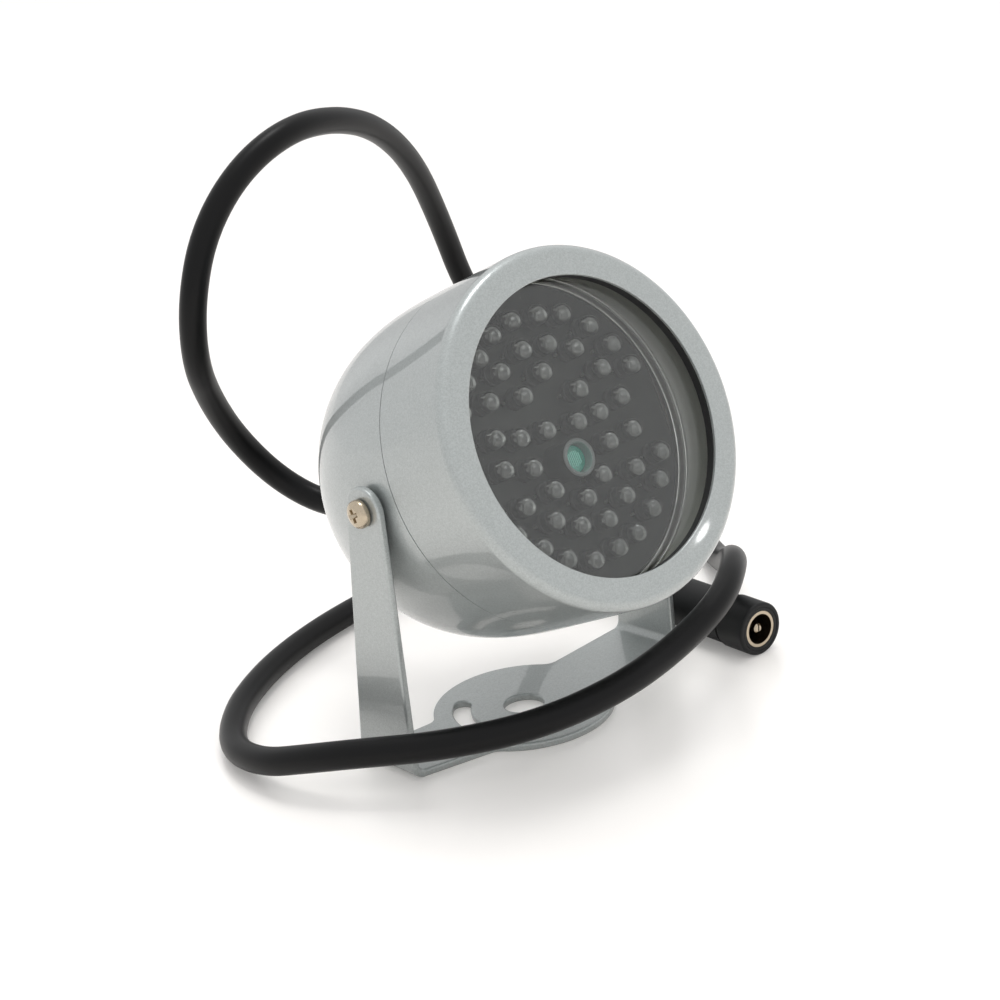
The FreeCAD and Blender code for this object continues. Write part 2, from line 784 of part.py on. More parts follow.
def jack_pin():
    """The split centre pin, standing on the insulator's floor."""
    pin = Part.makeCylinder(jack_pin_radius, jack_pin_length, Vector(0, 0, jack_pin_recess))
    tip = [edge for edge in pin.Edges if edge.BoundBox.ZMax < jack_pin_recess + touch]
    pin = pin.makeChamfer(jack_pin_slit, tip)
    wide = 3 * jack_pin_radius
    slit = Part.makeBox(jack_pin_slit, wide, jack_pin_slit_length)
    slit.translate(Vector(-jack_pin_slit / 2, -wide / 2, jack_pin_recess))
    return pin.cut(slit)


def jack_strain_relief():
    """The tapered, ribbed sleeve where the cord leaves the socket."""
    start = jack_body_length
    cone = Part.makeCone(relief_front_radius, relief_rear_radius, relief_length, Vector(0, 0, start))
    pitch = relief_length / (relief_ribs + 1)
    for number in range(1, relief_ribs + 1):
        middle = start + number * pitch
        share = number / (relief_ribs + 1)
        surface = relief_front_radius + (relief_rear_radius - relief_front_radius) * share
        cutter = bored_cylinder(jack_radius, surface - relief_rib_depth, middle - relief_rib_gap / 2,
                                middle + relief_rib_gap / 2)
        cone = cone.cut(cutter)
    return cone


def build():
    """Every sub-part by its node's name."""
    lamp = {
        "front_barrel": front_barrel(),
        "rear_dome": rear_dome(),
        "seam_gasket": ring(spigot_radius, barrel_radius - seam_gasket_recess, dome_rim_s, seam_s),
        "window_gasket": ring(gasket_inner_radius, glass_radius, gasket_back_s, bezel_back_s),
        "window_glass": ring(0, glass_radius, glass_back_s, gasket_back_s),
        "snap_ring_front": ring(barrel_bore_radius - snap_ring_reach, snap_ring_radius,
                                board_front_s, board_front_s + snap_ring_thickness),
        "snap_ring_rear": ring(barrel_bore_radius - rear_ring_reach, snap_ring_radius,
                               board_back_s - snap_ring_thickness, board_back_s),
        "led_board": led_board(),
        "leds_outer_ring": led_group(outer_leds, outer_leds_radius),
        "leds_second_ring": led_group(second_leds, second_leds_radius),
        "leds_third_ring": led_group(third_leds, third_leds_radius),
        "leds_centre": led_group(centre_leds, centre_leds_radius),
        "photocell": photocell(),
        "photocell_collar": photocell_collar(),
        "ballast_resistors": ballast_resistors(),
        "driver_transistor": on_board_back(transistor_size, *transistor_place),
        "rectifier_diode": on_board_back(diode_size, *diode_place),
        "filter_capacitor": filter_capacitor(),
        "supply_wires": supply_wires(),
        "cable_gland": cable_gland(),
        "cord_inner_end": cord_inner_end(),
        "cable_tie": cable_tie(),
        "pivot_screw_left": pivot_screw(-1),
        "pivot_screw_right": pivot_screw(1),
    }
    pieces = {name: on_pivot(shape) for name, shape in lamp.items()}
    pieces["mounting_bracket"] = mounting_bracket()
    pieces["cord_lead"], pieces["cord_loop"] = cord_pieces()
    jack = {
        "jack_housing": jack_housing(),
        "jack_insulator": jack_insulator(),
        "jack_sleeve": jack_sleeve(),
        "jack_pin": jack_pin(),
        "jack_strain_relief": jack_strain_relief(),
    }
    pieces.update({name: on_jack(shape) for name, shape in jack.items()})
    return pieces


def write_parts():
    """Writes one STEP file for each sub-part."""
    os.makedirs("parts", exist_ok=True)
    for name, shape in build().items():
        shape.exportStep("parts/" + name + ".step")


write_parts()
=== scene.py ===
"""Infrared illuminator: finishes, modelled pieces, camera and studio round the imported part."""

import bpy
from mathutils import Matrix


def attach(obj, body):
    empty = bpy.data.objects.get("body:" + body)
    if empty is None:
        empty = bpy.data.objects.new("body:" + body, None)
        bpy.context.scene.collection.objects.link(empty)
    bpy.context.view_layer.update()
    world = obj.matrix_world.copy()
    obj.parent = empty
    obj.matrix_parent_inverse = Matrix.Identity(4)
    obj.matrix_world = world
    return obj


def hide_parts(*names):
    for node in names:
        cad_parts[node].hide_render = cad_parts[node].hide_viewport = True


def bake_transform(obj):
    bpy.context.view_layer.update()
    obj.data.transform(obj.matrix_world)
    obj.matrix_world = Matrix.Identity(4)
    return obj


bl_info = {
    "name": "Infrared illuminator",
    "version": (1, 0, 0),
    "blender": (4, 5, 0),
    "location": "View3D > Sidebar > Illuminator",
    "description": "Builds a night-vision lamp on its bracket, with its cord and socket, in a studio",
    "category": "Object",
}

from math import asin, cos, hypot, pi, radians, sin, sqrt, tan, tau

import bmesh
import bpy
from bpy.props import FloatProperty, FloatVectorProperty, PointerProperty
from bpy.types import Node, Operator, Panel, PropertyGroup
from mathutils import Matrix, Vector

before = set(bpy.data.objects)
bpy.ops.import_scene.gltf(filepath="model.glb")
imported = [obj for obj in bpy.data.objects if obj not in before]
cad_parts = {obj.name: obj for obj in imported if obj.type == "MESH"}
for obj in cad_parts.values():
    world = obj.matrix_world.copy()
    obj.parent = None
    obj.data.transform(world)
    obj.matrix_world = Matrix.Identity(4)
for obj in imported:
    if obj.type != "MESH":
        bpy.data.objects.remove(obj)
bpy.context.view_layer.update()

MM = 0.001
STILL = Matrix.Identity(4)

# Sizes are in millimetres unless a comment says metres.
# In the lamp's own frame s counts forwards along its axis from the pivot, and up is across it.
PIVOT = Vector((3.0, -0.94, 55.12))
TILT = radians(23.0)
AXIS_DROP = 0.63

# Bracket: its flat blank, measured from the middle between the legs
SHEET_MIDDLE_BEND = 2.4
STRIP_HALF = 34.3
STRIP_FRONT = -5.6
STRIP_REAR = 10.8
BEND_LENGTH = pi / 2 * SHEET_MIDDLE_BEND
BEND_STEPS = 10
LEG_LENGTH = 51.92
LEG_TOP_RADIUS = 4.9
DISC_CENTRE = Vector((-PIVOT.x, 0))
DISC_RADIUS = 18.8
NECK_HALF = 9.3
NECK_FILLET = 3.0
CENTRE_HOLE = 4.15
SLOT_INNER = 11.1
SLOT_OUTER = 14.75
SLOT_HALF_ANGLE = 51
PIVOT_HOLE = 1.55

# Head: radii, and places along s
HEAD_RADIUS = 35.3
BORE_RADIUS = 32.8
GROOVE_RADIUS = 33.5
SPIGOT_RADIUS = 33.6
BEZEL_INSIDE = 29.0
BEZEL_FRONT = 28.2
BEZEL_BACK = 27.4
FRONT_GROOVE = 12.15
REAR_GROOVE = 9.55
GROOVE_WIDTH = 1.0
SEAM_FRONT = 8.04
SEAM_BACK = 7.92
SPIGOT_BACK = 4.6
DOME_WALL = 1.6
DOME_END = -35.6
DOME_ROUNDNESS = 2.52
DOME_FULLNESS = 3.39
SCREW_SEAT = 37.8
SCREW_TOP = 39.7

# Board, diodes and photocell: radii, and places along s
BOARD_FRONT = 12.15
LENS_RADIUS = 2.0
FLANGE_BACK = BOARD_FRONT + 1.8
FLANGE_FRONT = FLANGE_BACK + 1
LENS_FRONT = FLANGE_BACK + 5.2
LENS_MIDDLE = LENS_FRONT - LENS_RADIUS
# Where the painted shade on each lens's flange and side stops
PAINTED_SHADE_FRONT = LENS_MIDDLE - 0.6
LEAD_PLACE = 1.27
LEAD_HALF = 0.25
CELL_X = -0.1
CELL_UP = -4.6
COLLAR_FRONT = BOARD_FRONT + 7
CELL_FRONT = COLLAR_FRONT - 1.8

# Diode places on the board: degrees from the lamp's up towards +X, and distance from its axis
OUTER_RING = (
    (-62.0, 23.8), (-47.5, 23.8), (-32.9, 23.4), (-18.8, 24.1), (-4.8, 24.3),
    (11.1, 24.1), (24.8, 24.6), (40.8, 24.3), (55.4, 23.8), (69.5, 24.0),
    (114.1, 23.4), (128.0, 23.5), (143.8, 23.7), (160.1, 23.7), (174.3, 23.5),
    (190.1, 24.1), (205.7, 23.8), (219.8, 23.1), (235.0, 23.8), (249.5, 23.8),
)
SECOND_RING = (
    (13.7, 18.4), (34.0, 18.5), (56.6, 18.0), (78.9, 17.3), (101.5, 17.0), (127.2, 17.4),
    (148.8, 17.3), (171.7, 17.8), (194.2, 17.2), (214.7, 16.9), (238.0, 17.7), (264.9, 16.7),
    (285.7, 16.5), (308.9, 18.0), (330.5, 18.2), (353.5, 18.5),
)
THIRD_RING = (
    (2.8, 13.2), (45.0, 10.8), (78.3, 10.5), (111.3, 10.7), (150.1, 10.7),
    (181.3, 12.3), (220.0, 11.1), (252.4, 10.6), (285.7, 10.7), (329.5, 11.7),
)
CENTRE_PAIR = ((66.0, 4.7), (304.2, 4.5))

# Power socket: where its face is, its radii, and places from the face backwards
JACK_FACE = Vector((47.8, -23.3, 5.85))
JACK_HEADING = radians(4.75)
JACK_RADIUS = 5.8
JACK_BODY_RADIUS = 5.5
JACK_BORE = 4.8
JACK_COLLAR_END = 7.5
JACK_GROOVE_END = 8.3
JACK_BORE_END = 12.0
JACK_BODY_END = 24.0
RELIEF_END = 42.0
RELIEF_RADIUS = 4.6
RELIEF_RIBS = 5
RIB_PITCH = 3.0
RIB_GAP = 1.3
RIB_DEPTH = 0.7

# The cord's route in metres, from the gland's mouth to the back of the socket's strain relief
CORD_ROUTE = (
    (0.0030, 0.035449, 0.038991), (0.0030, 0.043273, 0.035670), (0.0018, 0.0533, 0.0337),
    (-0.0014, 0.0622, 0.0351), (-0.0067, 0.0686, 0.0415), (-0.0135, 0.0707, 0.0520),
    (-0.0207, 0.0667, 0.0632), (-0.0275, 0.0592, 0.0743), (-0.0284, 0.0552, 0.0880),
    (-0.0229, 0.0551, 0.1010), (-0.0124, 0.0552, 0.1113), (0.0011, 0.0551, 0.1172),
    (0.0178, 0.0604, 0.1162), (0.0351, 0.0683, 0.1105), (0.0515, 0.0776, 0.0987),
    (0.0656, 0.0876, 0.0807), (0.0732, 0.0903, 0.0619), (0.0802, 0.0844, 0.0435),
    (0.0862, 0.0699, 0.0248), (0.0893, 0.0508, 0.0099), (0.0874, 0.0309, 0.0029),
    (0.0782, 0.0157, 0.0031), (0.0675, 0.0032, 0.0085), (0.0535, -0.0114, 0.0180),
    (0.0422, -0.0224, 0.0226), (0.0305, -0.0292, 0.0204), (0.0139, -0.0311, 0.0164),
    (-0.0042, -0.0325, 0.0150), (-0.0217, -0.0285, 0.0136), (-0.0354, -0.0163, 0.0115),
    (-0.0456, -0.0034, 0.0104), (-0.0502, 0.0056, 0.0086), (-0.0533, 0.0179, 0.0052),
    (-0.0510, 0.0323, 0.0032), (-0.0399, 0.0462, 0.0030), (-0.0260, 0.0559, 0.0030),
    (-0.0117, 0.0625, 0.0030), (0.0038, 0.0669, 0.0030), (0.0257, 0.0701, 0.0030),
    (0.0393, 0.0650, 0.0029), (0.0486, 0.0528, 0.0031), (0.0521, 0.0371, 0.0045),
    (0.051891, 0.025931, 0.00585), (0.051278, 0.018556, 0.00585),
)
# The lead ends between this point and the next, and the loop begins
LEAD_END = 5


def srgb(code):
    """A linear colour from its sRGB hex value."""
    parts = [int(code[i:i + 2], 16) / 255 for i in (1, 3, 5)]
    return tuple(c / 12.92 if c <= 0.04045 else ((c + 0.055) / 1.055) ** 2.4 for c in parts)


def rgba(colour):
    """A colour with full alpha, as shader sockets take it."""
    return (*colour, 1.0)


# Settings

class CordSettings(PropertyGroup):
    """The cord's size and colour"""
    diameter: FloatProperty(
        name="Cord diameter", description="Outside of the jacket",
        default=0.0057, min=0.002, max=0.01, unit="LENGTH")
    jacket: FloatVectorProperty(
        name="Jacket", description="Colour of the cord's PVC jacket",
        subtype="COLOR", default=srgb("#070708"), min=0, max=1)


class HeadSettings(PropertyGroup):
    """The head's paint and its front edge"""
    paint: FloatVectorProperty(
        name="Paint", description="Colour of the silver paint on the head and bracket",
        subtype="COLOR", default=srgb("#a9aead"), min=0, max=1)
    flake: FloatProperty(
        name="Flake size", description="Width of one flake in the paint",
        default=0.00022, min=0.0001, max=0.002, unit="LENGTH")
    edge: FloatProperty(
        name="Bezel edge", description="Radius of the bezel's outer edge",
        default=0.002, min=0.0002, max=0.003, unit="LENGTH")


class BracketSettings(PropertyGroup):
    """The bracket's sheet"""
    thickness: FloatProperty(
        name="Sheet", description="Thickness of the bent sheet",
        default=0.0016, min=0.0008, max=0.003, unit="LENGTH")
    edge: FloatProperty(
        name="Sheet edge", description="Radius of the sheet's tumbled edges",
        default=0.00045, min=0.0001, max=0.0007, unit="LENGTH")


class BoardSettings(PropertyGroup):
    """Colours of what shows behind the window"""
    mask: FloatVectorProperty(
        name="Solder mask", description="Colour of the board",
        subtype="COLOR", default=srgb("#2c2c2a"), min=0, max=1)
    epoxy: FloatVectorProperty(
        name="Diode resin", description="Colour of the diodes' smoked resin",
        subtype="COLOR", default=srgb("#7e7e7d"), min=0, max=1)
    cell: FloatVectorProperty(
        name="Photocell", description="Colour of the photocell's face",
        subtype="COLOR", default=srgb("#2b7f6f"), min=0, max=1)


class StageSettings(PropertyGroup):
    """The studio's light and floor"""
    ambient: FloatProperty(
        name="Tent", description="Strength of the white tent round the object",
        default=0.68, min=0, max=2)
    backdrop: FloatProperty(
        name="Backdrop", description="Strength of the lit backdrop behind the object",
        default=1.0, min=0, max=20)
    softbox: FloatProperty(
        name="Softbox", description="Strength of the softbox overhead",
        default=0.75, min=0, max=20)
    fill: FloatProperty(
        name="Fill lamp", description="Power of the soft lamp over the camera, in watts",
        default=0.5, min=0, max=10)
    floor: FloatVectorProperty(
        name="Floor", description="Colour of the paper floor",
        subtype="COLOR", default=srgb("#f8f5f1"), min=0, max=1)


# Materials

def add(tree, kind, settings=None, links=None):
    """Adds a node, sets its own values and its sockets' values, and links its inputs.

    A socket is named, or numbered where a node has several of that name. A link comes from an output,
    or from a node's first one.
    """
    made = tree.nodes.new(kind)
    for key, value in (settings or {}).items():
        if hasattr(made, str(key)):
            setattr(made, key, value)
        else:
            made.inputs[key].default_value = value
    for key, source in (links or {}).items():
        output = source.outputs[0] if isinstance(source, Node) else source
        tree.links.new(output, made.inputs[key])
    return made


def shades(colour, spread):
    """The colour made darker and lighter by that share."""
    return [rgba(tuple(min(1.0, c * share) for c in colour)) for share in (1 - spread, 1 + spread)]


def show_through(tree, surface, tint):
    """A clear surface whose shadow only takes its tint: shadow rays pass through."""
    clear = add(tree, "ShaderNodeBsdfTransparent", {"Color": rgba(tint)})
    path = add(tree, "ShaderNodeLightPath")
    return add(tree, "ShaderNodeMixShader", {}, {0: path.outputs["Is Shadow Ray"], 1: surface, 2: clear})


def sprayed_silver_paint(tree):
    """Sprayed metallic paint under clear lacquer: flakes give a soft sparkle, the spray a faint orange peel.

    Real flakes are about 0.03 mm wide. They are drawn coarser, so that they show.
    """
    head = bpy.context.scene.head_settings
    place = add(tree, "ShaderNodeTexCoord").outputs["Object"]
    flakes = add(tree, "ShaderNodeTexVoronoi", {"Scale": 1 / head.flake, "Randomness": 1.0},
                 {"Vector": place})
    grey = add(tree, "ShaderNodeSeparateColor", {}, {"Color": flakes.outputs["Color"]})
    dark, light = shades(head.paint, 0.1)
    tint = add(tree, "ShaderNodeMix", {"data_type": "RGBA", 6: dark, 7: light}, {0: grey.outputs["Red"]})
    gloss = add(tree, "ShaderNodeMapRange", {"To Min": 0.3, "To Max": 0.46},
                {"Value": grey.outputs["Green"]})
    peel = add(tree, "ShaderNodeTexNoise", {"Scale": 1 / (1.6 * MM), "Detail": 2.0, "Roughness": 0.4},
               {"Vector": place})
    grain = add(tree, "ShaderNodeMath", {"operation": "MULTIPLY_ADD", 1: 0.12},
                {0: grey.outputs["Blue"], 2: peel.outputs["Fac"]})
    bump = add(tree, "ShaderNodeBump", {"Strength": 0.04, "Distance": 0.1 * MM}, {"Height": grain})
    return add(tree, "ShaderNodeBsdfPrincipled",
               {"Metallic": 0.6, "Coat Weight": 1.0, "Coat Roughness": 0.04, "Coat IOR": 1.5},
               {"Base Color": tint.outputs[2], "Roughness": gloss, "Normal": bump})


def clear_float_glass(tree):
    """Clear float glass: the eye sees the white room in it over the dark inside."""
    glass = add(tree, "ShaderNodeBsdfPrincipled",
                {"Base Color": rgba(srgb("#f4f7f6")), "Roughness": 0.02, "IOR": 1.52,
                 "Transmission Weight": 1.0})
    return show_through(tree, glass, srgb("#eef2f1"))


def cast_smoked_epoxy(tree):
    """Cast epoxy of the diodes: polished, faintly smoked, with the lead frame seen in it."""
    tint = bpy.context.scene.board_settings.epoxy
    epoxy = add(tree, "ShaderNodeBsdfPrincipled",
                {"Base Color": rgba(tint), "Roughness": 0.0, "IOR": 1.56, "Transmission Weight": 0.94})
    return show_through(tree, epoxy, tint)


def black_solder_mask(tree):
    """Matt black solder mask over copper: almost plain, with fine grain and a few dust specks."""
    place = add(tree, "ShaderNodeTexCoord").outputs["Object"]
    grain = add(tree, "ShaderNodeTexNoise", {"Scale": 1 / (2.0 * MM), "Detail": 3.0}, {"Vector": place})
    dark, light = shades(bpy.context.scene.board_settings.mask, 0.06)
    tint = add(tree, "ShaderNodeMix", {"data_type": "RGBA", 6: dark, 7: light}, {0: grain.outputs["Fac"]})
    specks = add(tree, "ShaderNodeTexVoronoi", {"Scale": 1 / (4.6 * MM), "Randomness": 1.0},
                 {"Vector": place})
    dust = add(tree, "ShaderNodeMath", {"operation": "LESS_THAN", 1: 0.022},
               {0: specks.outputs["Distance"]})
    dusty = add(tree, "ShaderNodeMix", {"data_type": "RGBA", 7: rgba(srgb("#b5b3ad"))},
                {0: dust, 6: tint.outputs[2]})
    return add(tree, "ShaderNodeBsdfPrincipled", {"Roughness": 0.5, "Specular IOR Level": 0.2},
               {"Base Color": dusty.outputs[2]})


def seamless_white_paper(tree):
    """Seamless white paper: a soft mirror low down, and lifted a little for the eye, as if lit evenly."""
    lift = 0.17
    sheet = add(tree, "ShaderNodeBsdfPrincipled",
                {"Base Color": rgba(bpy.context.scene.stage_settings.floor), "Roughness": 0.22,
                 "Specular IOR Level": 0.5})
    path = add(tree, "ShaderNodeLightPath")
    seen = add(tree, "ShaderNodeMath", {"operation": "MAXIMUM"},
               {0: path.outputs["Is Camera Ray"], 1: path.outputs["Is Transmission Ray"]})
    seen = add(tree, "ShaderNodeMath", {"operation": "MULTIPLY_ADD", 1: 0.5},
               {0: path.outputs["Is Glossy Ray"], 2: seen})
    strength = add(tree, "ShaderNodeMath", {"operation": "MULTIPLY", 1: lift}, {0: seen})
    glow = add(tree, "ShaderNodeEmission", {"Color": rgba(srgb("#fffefc"))}, {"Strength": strength})
    return add(tree, "ShaderNodeAddShader", {}, {0: sheet, 1: glow})


def varied(tree, colour, spread, grain_mm, bump=0.05, **values):
    """A plain finish whose colour drifts a little over its surface, with a fine bump of the same grain."""
    place = add(tree, "ShaderNodeTexCoord").outputs["Object"]
    noise = add(tree, "ShaderNodeTexNoise", {"Scale": 1 / (grain_mm * MM), "Detail": 3.0},
                {"Vector": place})
    dark, light = shades(colour, spread)
    tint = add(tree, "ShaderNodeMix", {"data_type": "RGBA", 6: dark, 7: light}, {0: noise.outputs["Fac"]})
    relief = add(tree, "ShaderNodeBump", {"Strength": bump, "Distance": grain_mm * MM / 10},
                 {"Height": noise.outputs["Fac"]})
    return add(tree, "ShaderNodeBsdfPrincipled",
               {key.replace("_", " "): value for key, value in values.items()},
               {"Base Color": tint.outputs[2], "Normal": relief})


def moulded_nitrile_rubber(tree):
    """Moulded nitrile rubber: dull black."""
    return varied(tree, srgb("#1c1c1c"), 0.2, 0.6, Roughness=0.7)


def flat_grey_primer(tree):
    """Flat grey primer, left unpainted inside the barrel."""
    return varied(tree, srgb("#aba9a3"), 0.08, 0.5, Roughness=0.6, Specular_IOR_Level=0.3)


def grey_seam_silicone(tree):
    """Cured grey silicone in the seam: dull, and close to the paint's own grey."""
    return varied(tree, srgb("#a0a4a3"), 0.1, 0.8, Roughness=0.6)


def bright_spring_steel(tree):
    """Rolled spring steel: bright, with soft streaks."""
    return varied(tree, srgb("#b9b8b4"), 0.15, 0.8, Metallic=1.0, Roughness=0.32)


def nickel_plated_steel(tree):
    """Nickel plate over steel and brass: warm, bright and a little worn."""
    return varied(tree, srgb("#b9ac98"), 0.12, 0.7, Metallic=1.0, Roughness=0.24)


def black_painted_shade(tree):
    """Dull black on the diodes' sides and the photocell sleeve's side, as dark and dull as the board: painted
    shade, where the light from above would show these sides lighter than the board.
    """
    return varied(tree, srgb("#2d2d2c"), 0.1, 0.5, Roughness=0.7, Specular_IOR_Level=0.1)


def tinned_lead_frame(tree):
    """Tinned lead frame: dull silver."""
    return varied(tree, srgb("#c9c9c6"), 0.05, 0.4, Metallic=1.0, Roughness=0.3)


def extruded_pvc_jacket(tree):
    """Extruded PVC jacket: black, with a soft sheen and faint scuffs."""
    jacket = bpy.context.scene.cord_settings.jacket
    return varied(tree, jacket, 0.18, 2.5, bump=0.03, Roughness=0.36, Specular_IOR_Level=0.2)


def moulded_black_plastic(tree):
    """Moulded black plastic with a fine spark-eroded grain."""
    return varied(tree, srgb("#101112"), 0.15, 0.25, bump=0.2, Roughness=0.5, Specular_IOR_Level=0.3)


def cadmium_sulphide_cell(tree):
    """Cadmium sulphide on ceramic under clear resin: teal and glossy."""
    cell = bpy.context.scene.board_settings.cell
    return varied(tree, cell, 0.1, 1.5, Roughness=0.25, Coat_Weight=1.0)


def teal_painted_reflection(tree):
    """Teal-grey on the inside of the photocell's sleeve: a painted reflection of the cell's teal."""
    return varied(tree, srgb("#6f827d"), 0.08, 0.8, Roughness=0.3)


def cell_track_lines(tree):
    """The pale electrode lines on the photocell."""
    return varied(tree, srgb("#74b5a6"), 0.05, 0.5, Roughness=0.3, Coat_Weight=0.5)


def milky_nylon_sleeve(tree):
    """Milky nylon sleeve round the photocell: grey, and faintly lit from inside."""
    return varied(tree, srgb("#626564"), 0.08, 0.8, Roughness=0.35, Transmission_Weight=0.2)


def drawn_aluminium_can(tree):
    """Drawn aluminium can of the capacitor: pale and evenly bright."""
    return varied(tree, srgb("#c2c4c5"), 0.05, 0.5, Metallic=1.0, Roughness=0.35)


def red_wire_insulation(tree):
    """Red PVC wire insulation: smooth, with a soft sheen."""
    return varied(tree, srgb("#8c1c17"), 0.1, 1.0, Roughness=0.4)


def finish(maker):
    """The material named for the function that makes its surface, made when first asked for."""
    made = bpy.data.materials.get(maker.__name__)
    if not made:
        made = bpy.data.materials.new(maker.__name__)
        made.use_nodes = True
        tree = made.node_tree
        tree.nodes.clear()
        add(tree, "ShaderNodeOutputMaterial", {}, {"Surface": maker(tree)})
    return made


# Places: each maps its own millimetres to the object's frame in metres

BRACKET_PLACE = Matrix.Scale(MM, 4)
LAMP_PLACE = (BRACKET_PLACE @ Matrix.Translation(PIVOT) @ Matrix.Rotation(-TILT, 4, "X")
              @ Matrix.Translation((0, 0, -AXIS_DROP)) @ Matrix.Rotation(radians(90), 4, "X"))
JACK_BACKWARDS = Vector((sin(JACK_HEADING), cos(JACK_HEADING), 0))
JACK_PLACE = (BRACKET_PLACE @ Matrix.Translation(JACK_FACE)
              @ JACK_BACKWARDS.to_track_quat("Z", "Y").to_matrix().to_4x4())


def pivot_place(side):
    """Turns a shape about Z onto the pivot line in the lamp's frame, to the left (-1) or right (1)."""
    return Matrix.Translation((0, AXIS_DROP, 0)) @ Matrix.Rotation(side * pi / 2, 4, "Y")


# Outlines

def heading(turn):
    """The flat unit vector that points at that angle."""
    return Vector((cos(turn), sin(turn)))


def arc(centre, start, end, steps):
    """Points from start to end round the centre, the short way."""
    first = start - centre
    turn = first.angle_signed(end - centre)
    points = []
    for step in range(steps + 1):
        share = turn * step / steps
        points.append(centre + Vector((first.x * cos(share) + first.y * sin(share),
                                       first.y * cos(share) - first.x * sin(share))))
    return points


def rounded(corners, steps=5):
    """An outline's points from (x, y, fillet radius) corners, with an arc at each rounded one."""
    points = []
    for i, (x, y, fillet) in enumerate(corners):
        here = Vector((x, y))
        if not fillet:
            points.append(here)
            continue
        into = (Vector(corners[i - 1][:2]) - here).normalized()
        out = (Vector(corners[(i + 1) % len(corners)][:2]) - here).normalized()
        half = into.angle(out) / 2
        centre = here + (into + out).normalized() * fillet / sin(half)
        reach = fillet / tan(half)
        points += arc(centre, here + into * reach, here + out * reach, steps)
    return points


def section(inner, outer, back, front, fillets=(0, 0, 0, 0)):
    """A ring's outline, with the fillets of its inner back, outer back, outer front and inner front."""
    corners = ((inner, back), (outer, back), (outer, front), (inner, front))
    return rounded([(x, y, fillet) for (x, y), fillet in zip(corners, fillets)])


# Mesh tools

def turned(outline, segments=128):
    """A bmesh turned round the Z axis from a closed outline of (radius, height) points."""
    made = bmesh.new()
    verts = [made.verts.new((x, 0, z)) for x, z in outline]
    edges = [made.edges.new(pair) for pair in zip(verts, verts[1:] + verts[:1])]
    bmesh.ops.spin(made, geom=verts + edges, axis=(0, 0, 1), cent=(0, 0, 0), angle=tau,
                   steps=segments, use_merge=True)
    bmesh.ops.remove_doubles(made, verts=made.verts, dist=1e-4)
    bmesh.ops.recalc_face_normals(made, faces=made.faces)
    return made


def tube(line, radius, sides=24):
    """A round tube along the line's points, carried along without twist and closed at both ends."""
    made = bmesh.new()
    rings = []
    side = (line[1] - line[0]).orthogonal()
    for i, point in enumerate(line):
        ahead = (line[min(i + 1, len(line) - 1)] - line[max(i - 1, 0)]).normalized()
        side = (side - ahead * side.dot(ahead)).normalized()
        other = ahead.cross(side)
        turns = [tau * k / sides for k in range(sides)]
        rings.append([made.verts.new(point + radius * (side * cos(t) + other * sin(t))) for t in turns])
    for near, far in zip(rings, rings[1:]):
        for k in range(sides):
            made.faces.new((near[k], near[(k + 1) % sides], far[(k + 1) % sides], far[k]))
    made.faces.new(reversed(rings[0]))
    made.faces.new(rings[-1])
    return made


def box(low, high):
    """A box between two corners."""
    made = bmesh.new()
    size = Vector(high) - Vector(low)
    middle = (Vector(high) + Vector(low)) / 2
    bmesh.ops.create_cube(made, size=1, matrix=Matrix.Translation(middle) @ Matrix.Diagonal((*size, 1)))
    return made


def join(parts):
    """One bmesh from several, each with the matrix that places it."""
    whole = bmesh.new()
    for part, place in parts:
        mesh = bpy.data.meshes.new("part")
        part.to_mesh(mesh)
        mesh.transform(place)
        whole.from_mesh(mesh)
        bpy.data.meshes.remove(mesh)
    return whole


def linked(name, data):
    """A new object with that name and data, in the scene."""
    made = bpy.data.objects.new(name, data)
    bpy.context.scene.collection.objects.link(made)
    return made


def add_spline(curve, kind, points):
    """Adds a spline of that kind through flat or solid points to a curve."""
    spline = curve.splines.new(kind)
    spline.points.add(len(points) - 1)
    for spot, point in zip(spline.points, points):
        spot.co = Vector(point).to_3d().to_4d()
    return spline


def result(item):
    """The mesh that an object gives with its curve or modifiers worked out."""
    bpy.context.view_layer.update()
    return bpy.data.meshes.new_from_object(item.evaluated_get(bpy.context.evaluated_depsgraph_get()))


def piece(name, shape, look, replaced=None, place=LAMP_PLACE, body="lamp", sharp=35):
    """Makes an object from a bmesh, smooth but for edges over the sharp angle.

    It stands for the node that it replaces, and rides on the body, unless that is None.
    """
    mesh = bpy.data.meshes.new(name)
    shape.to_mesh(mesh)
    shape.free()
    mesh.transform(place)
    mesh.shade_smooth()
    mesh.set_sharp_from_angle(angle=radians(sharp))
    mesh.materials.append(finish(look))
    made = linked(name, mesh)
    weigh = made.modifiers.new("weighted_normals", "WEIGHTED_NORMAL")
    weigh.keep_sharp = True
    if body:
        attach(made, body)
    if replaced:
        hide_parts(replaced)
    return made


def second_finish(made, look, chosen):
    """Gives the faces whose centre, in the lamp's (x, up, s), is chosen a second finish."""
    back = LAMP_PLACE.inverted()
    made.data.materials.append(finish(look))
    for face in made.data.polygons:
        if chosen(back @ face.center):
            face.material_index = len(made.data.materials) - 1


def refinish(look, *nodes):
    """Gives carried-over nodes their material."""
    for node in nodes:
        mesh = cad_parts[node].data
        mesh.materials.clear()
        mesh.materials.append(finish(look))


# Camera and cord

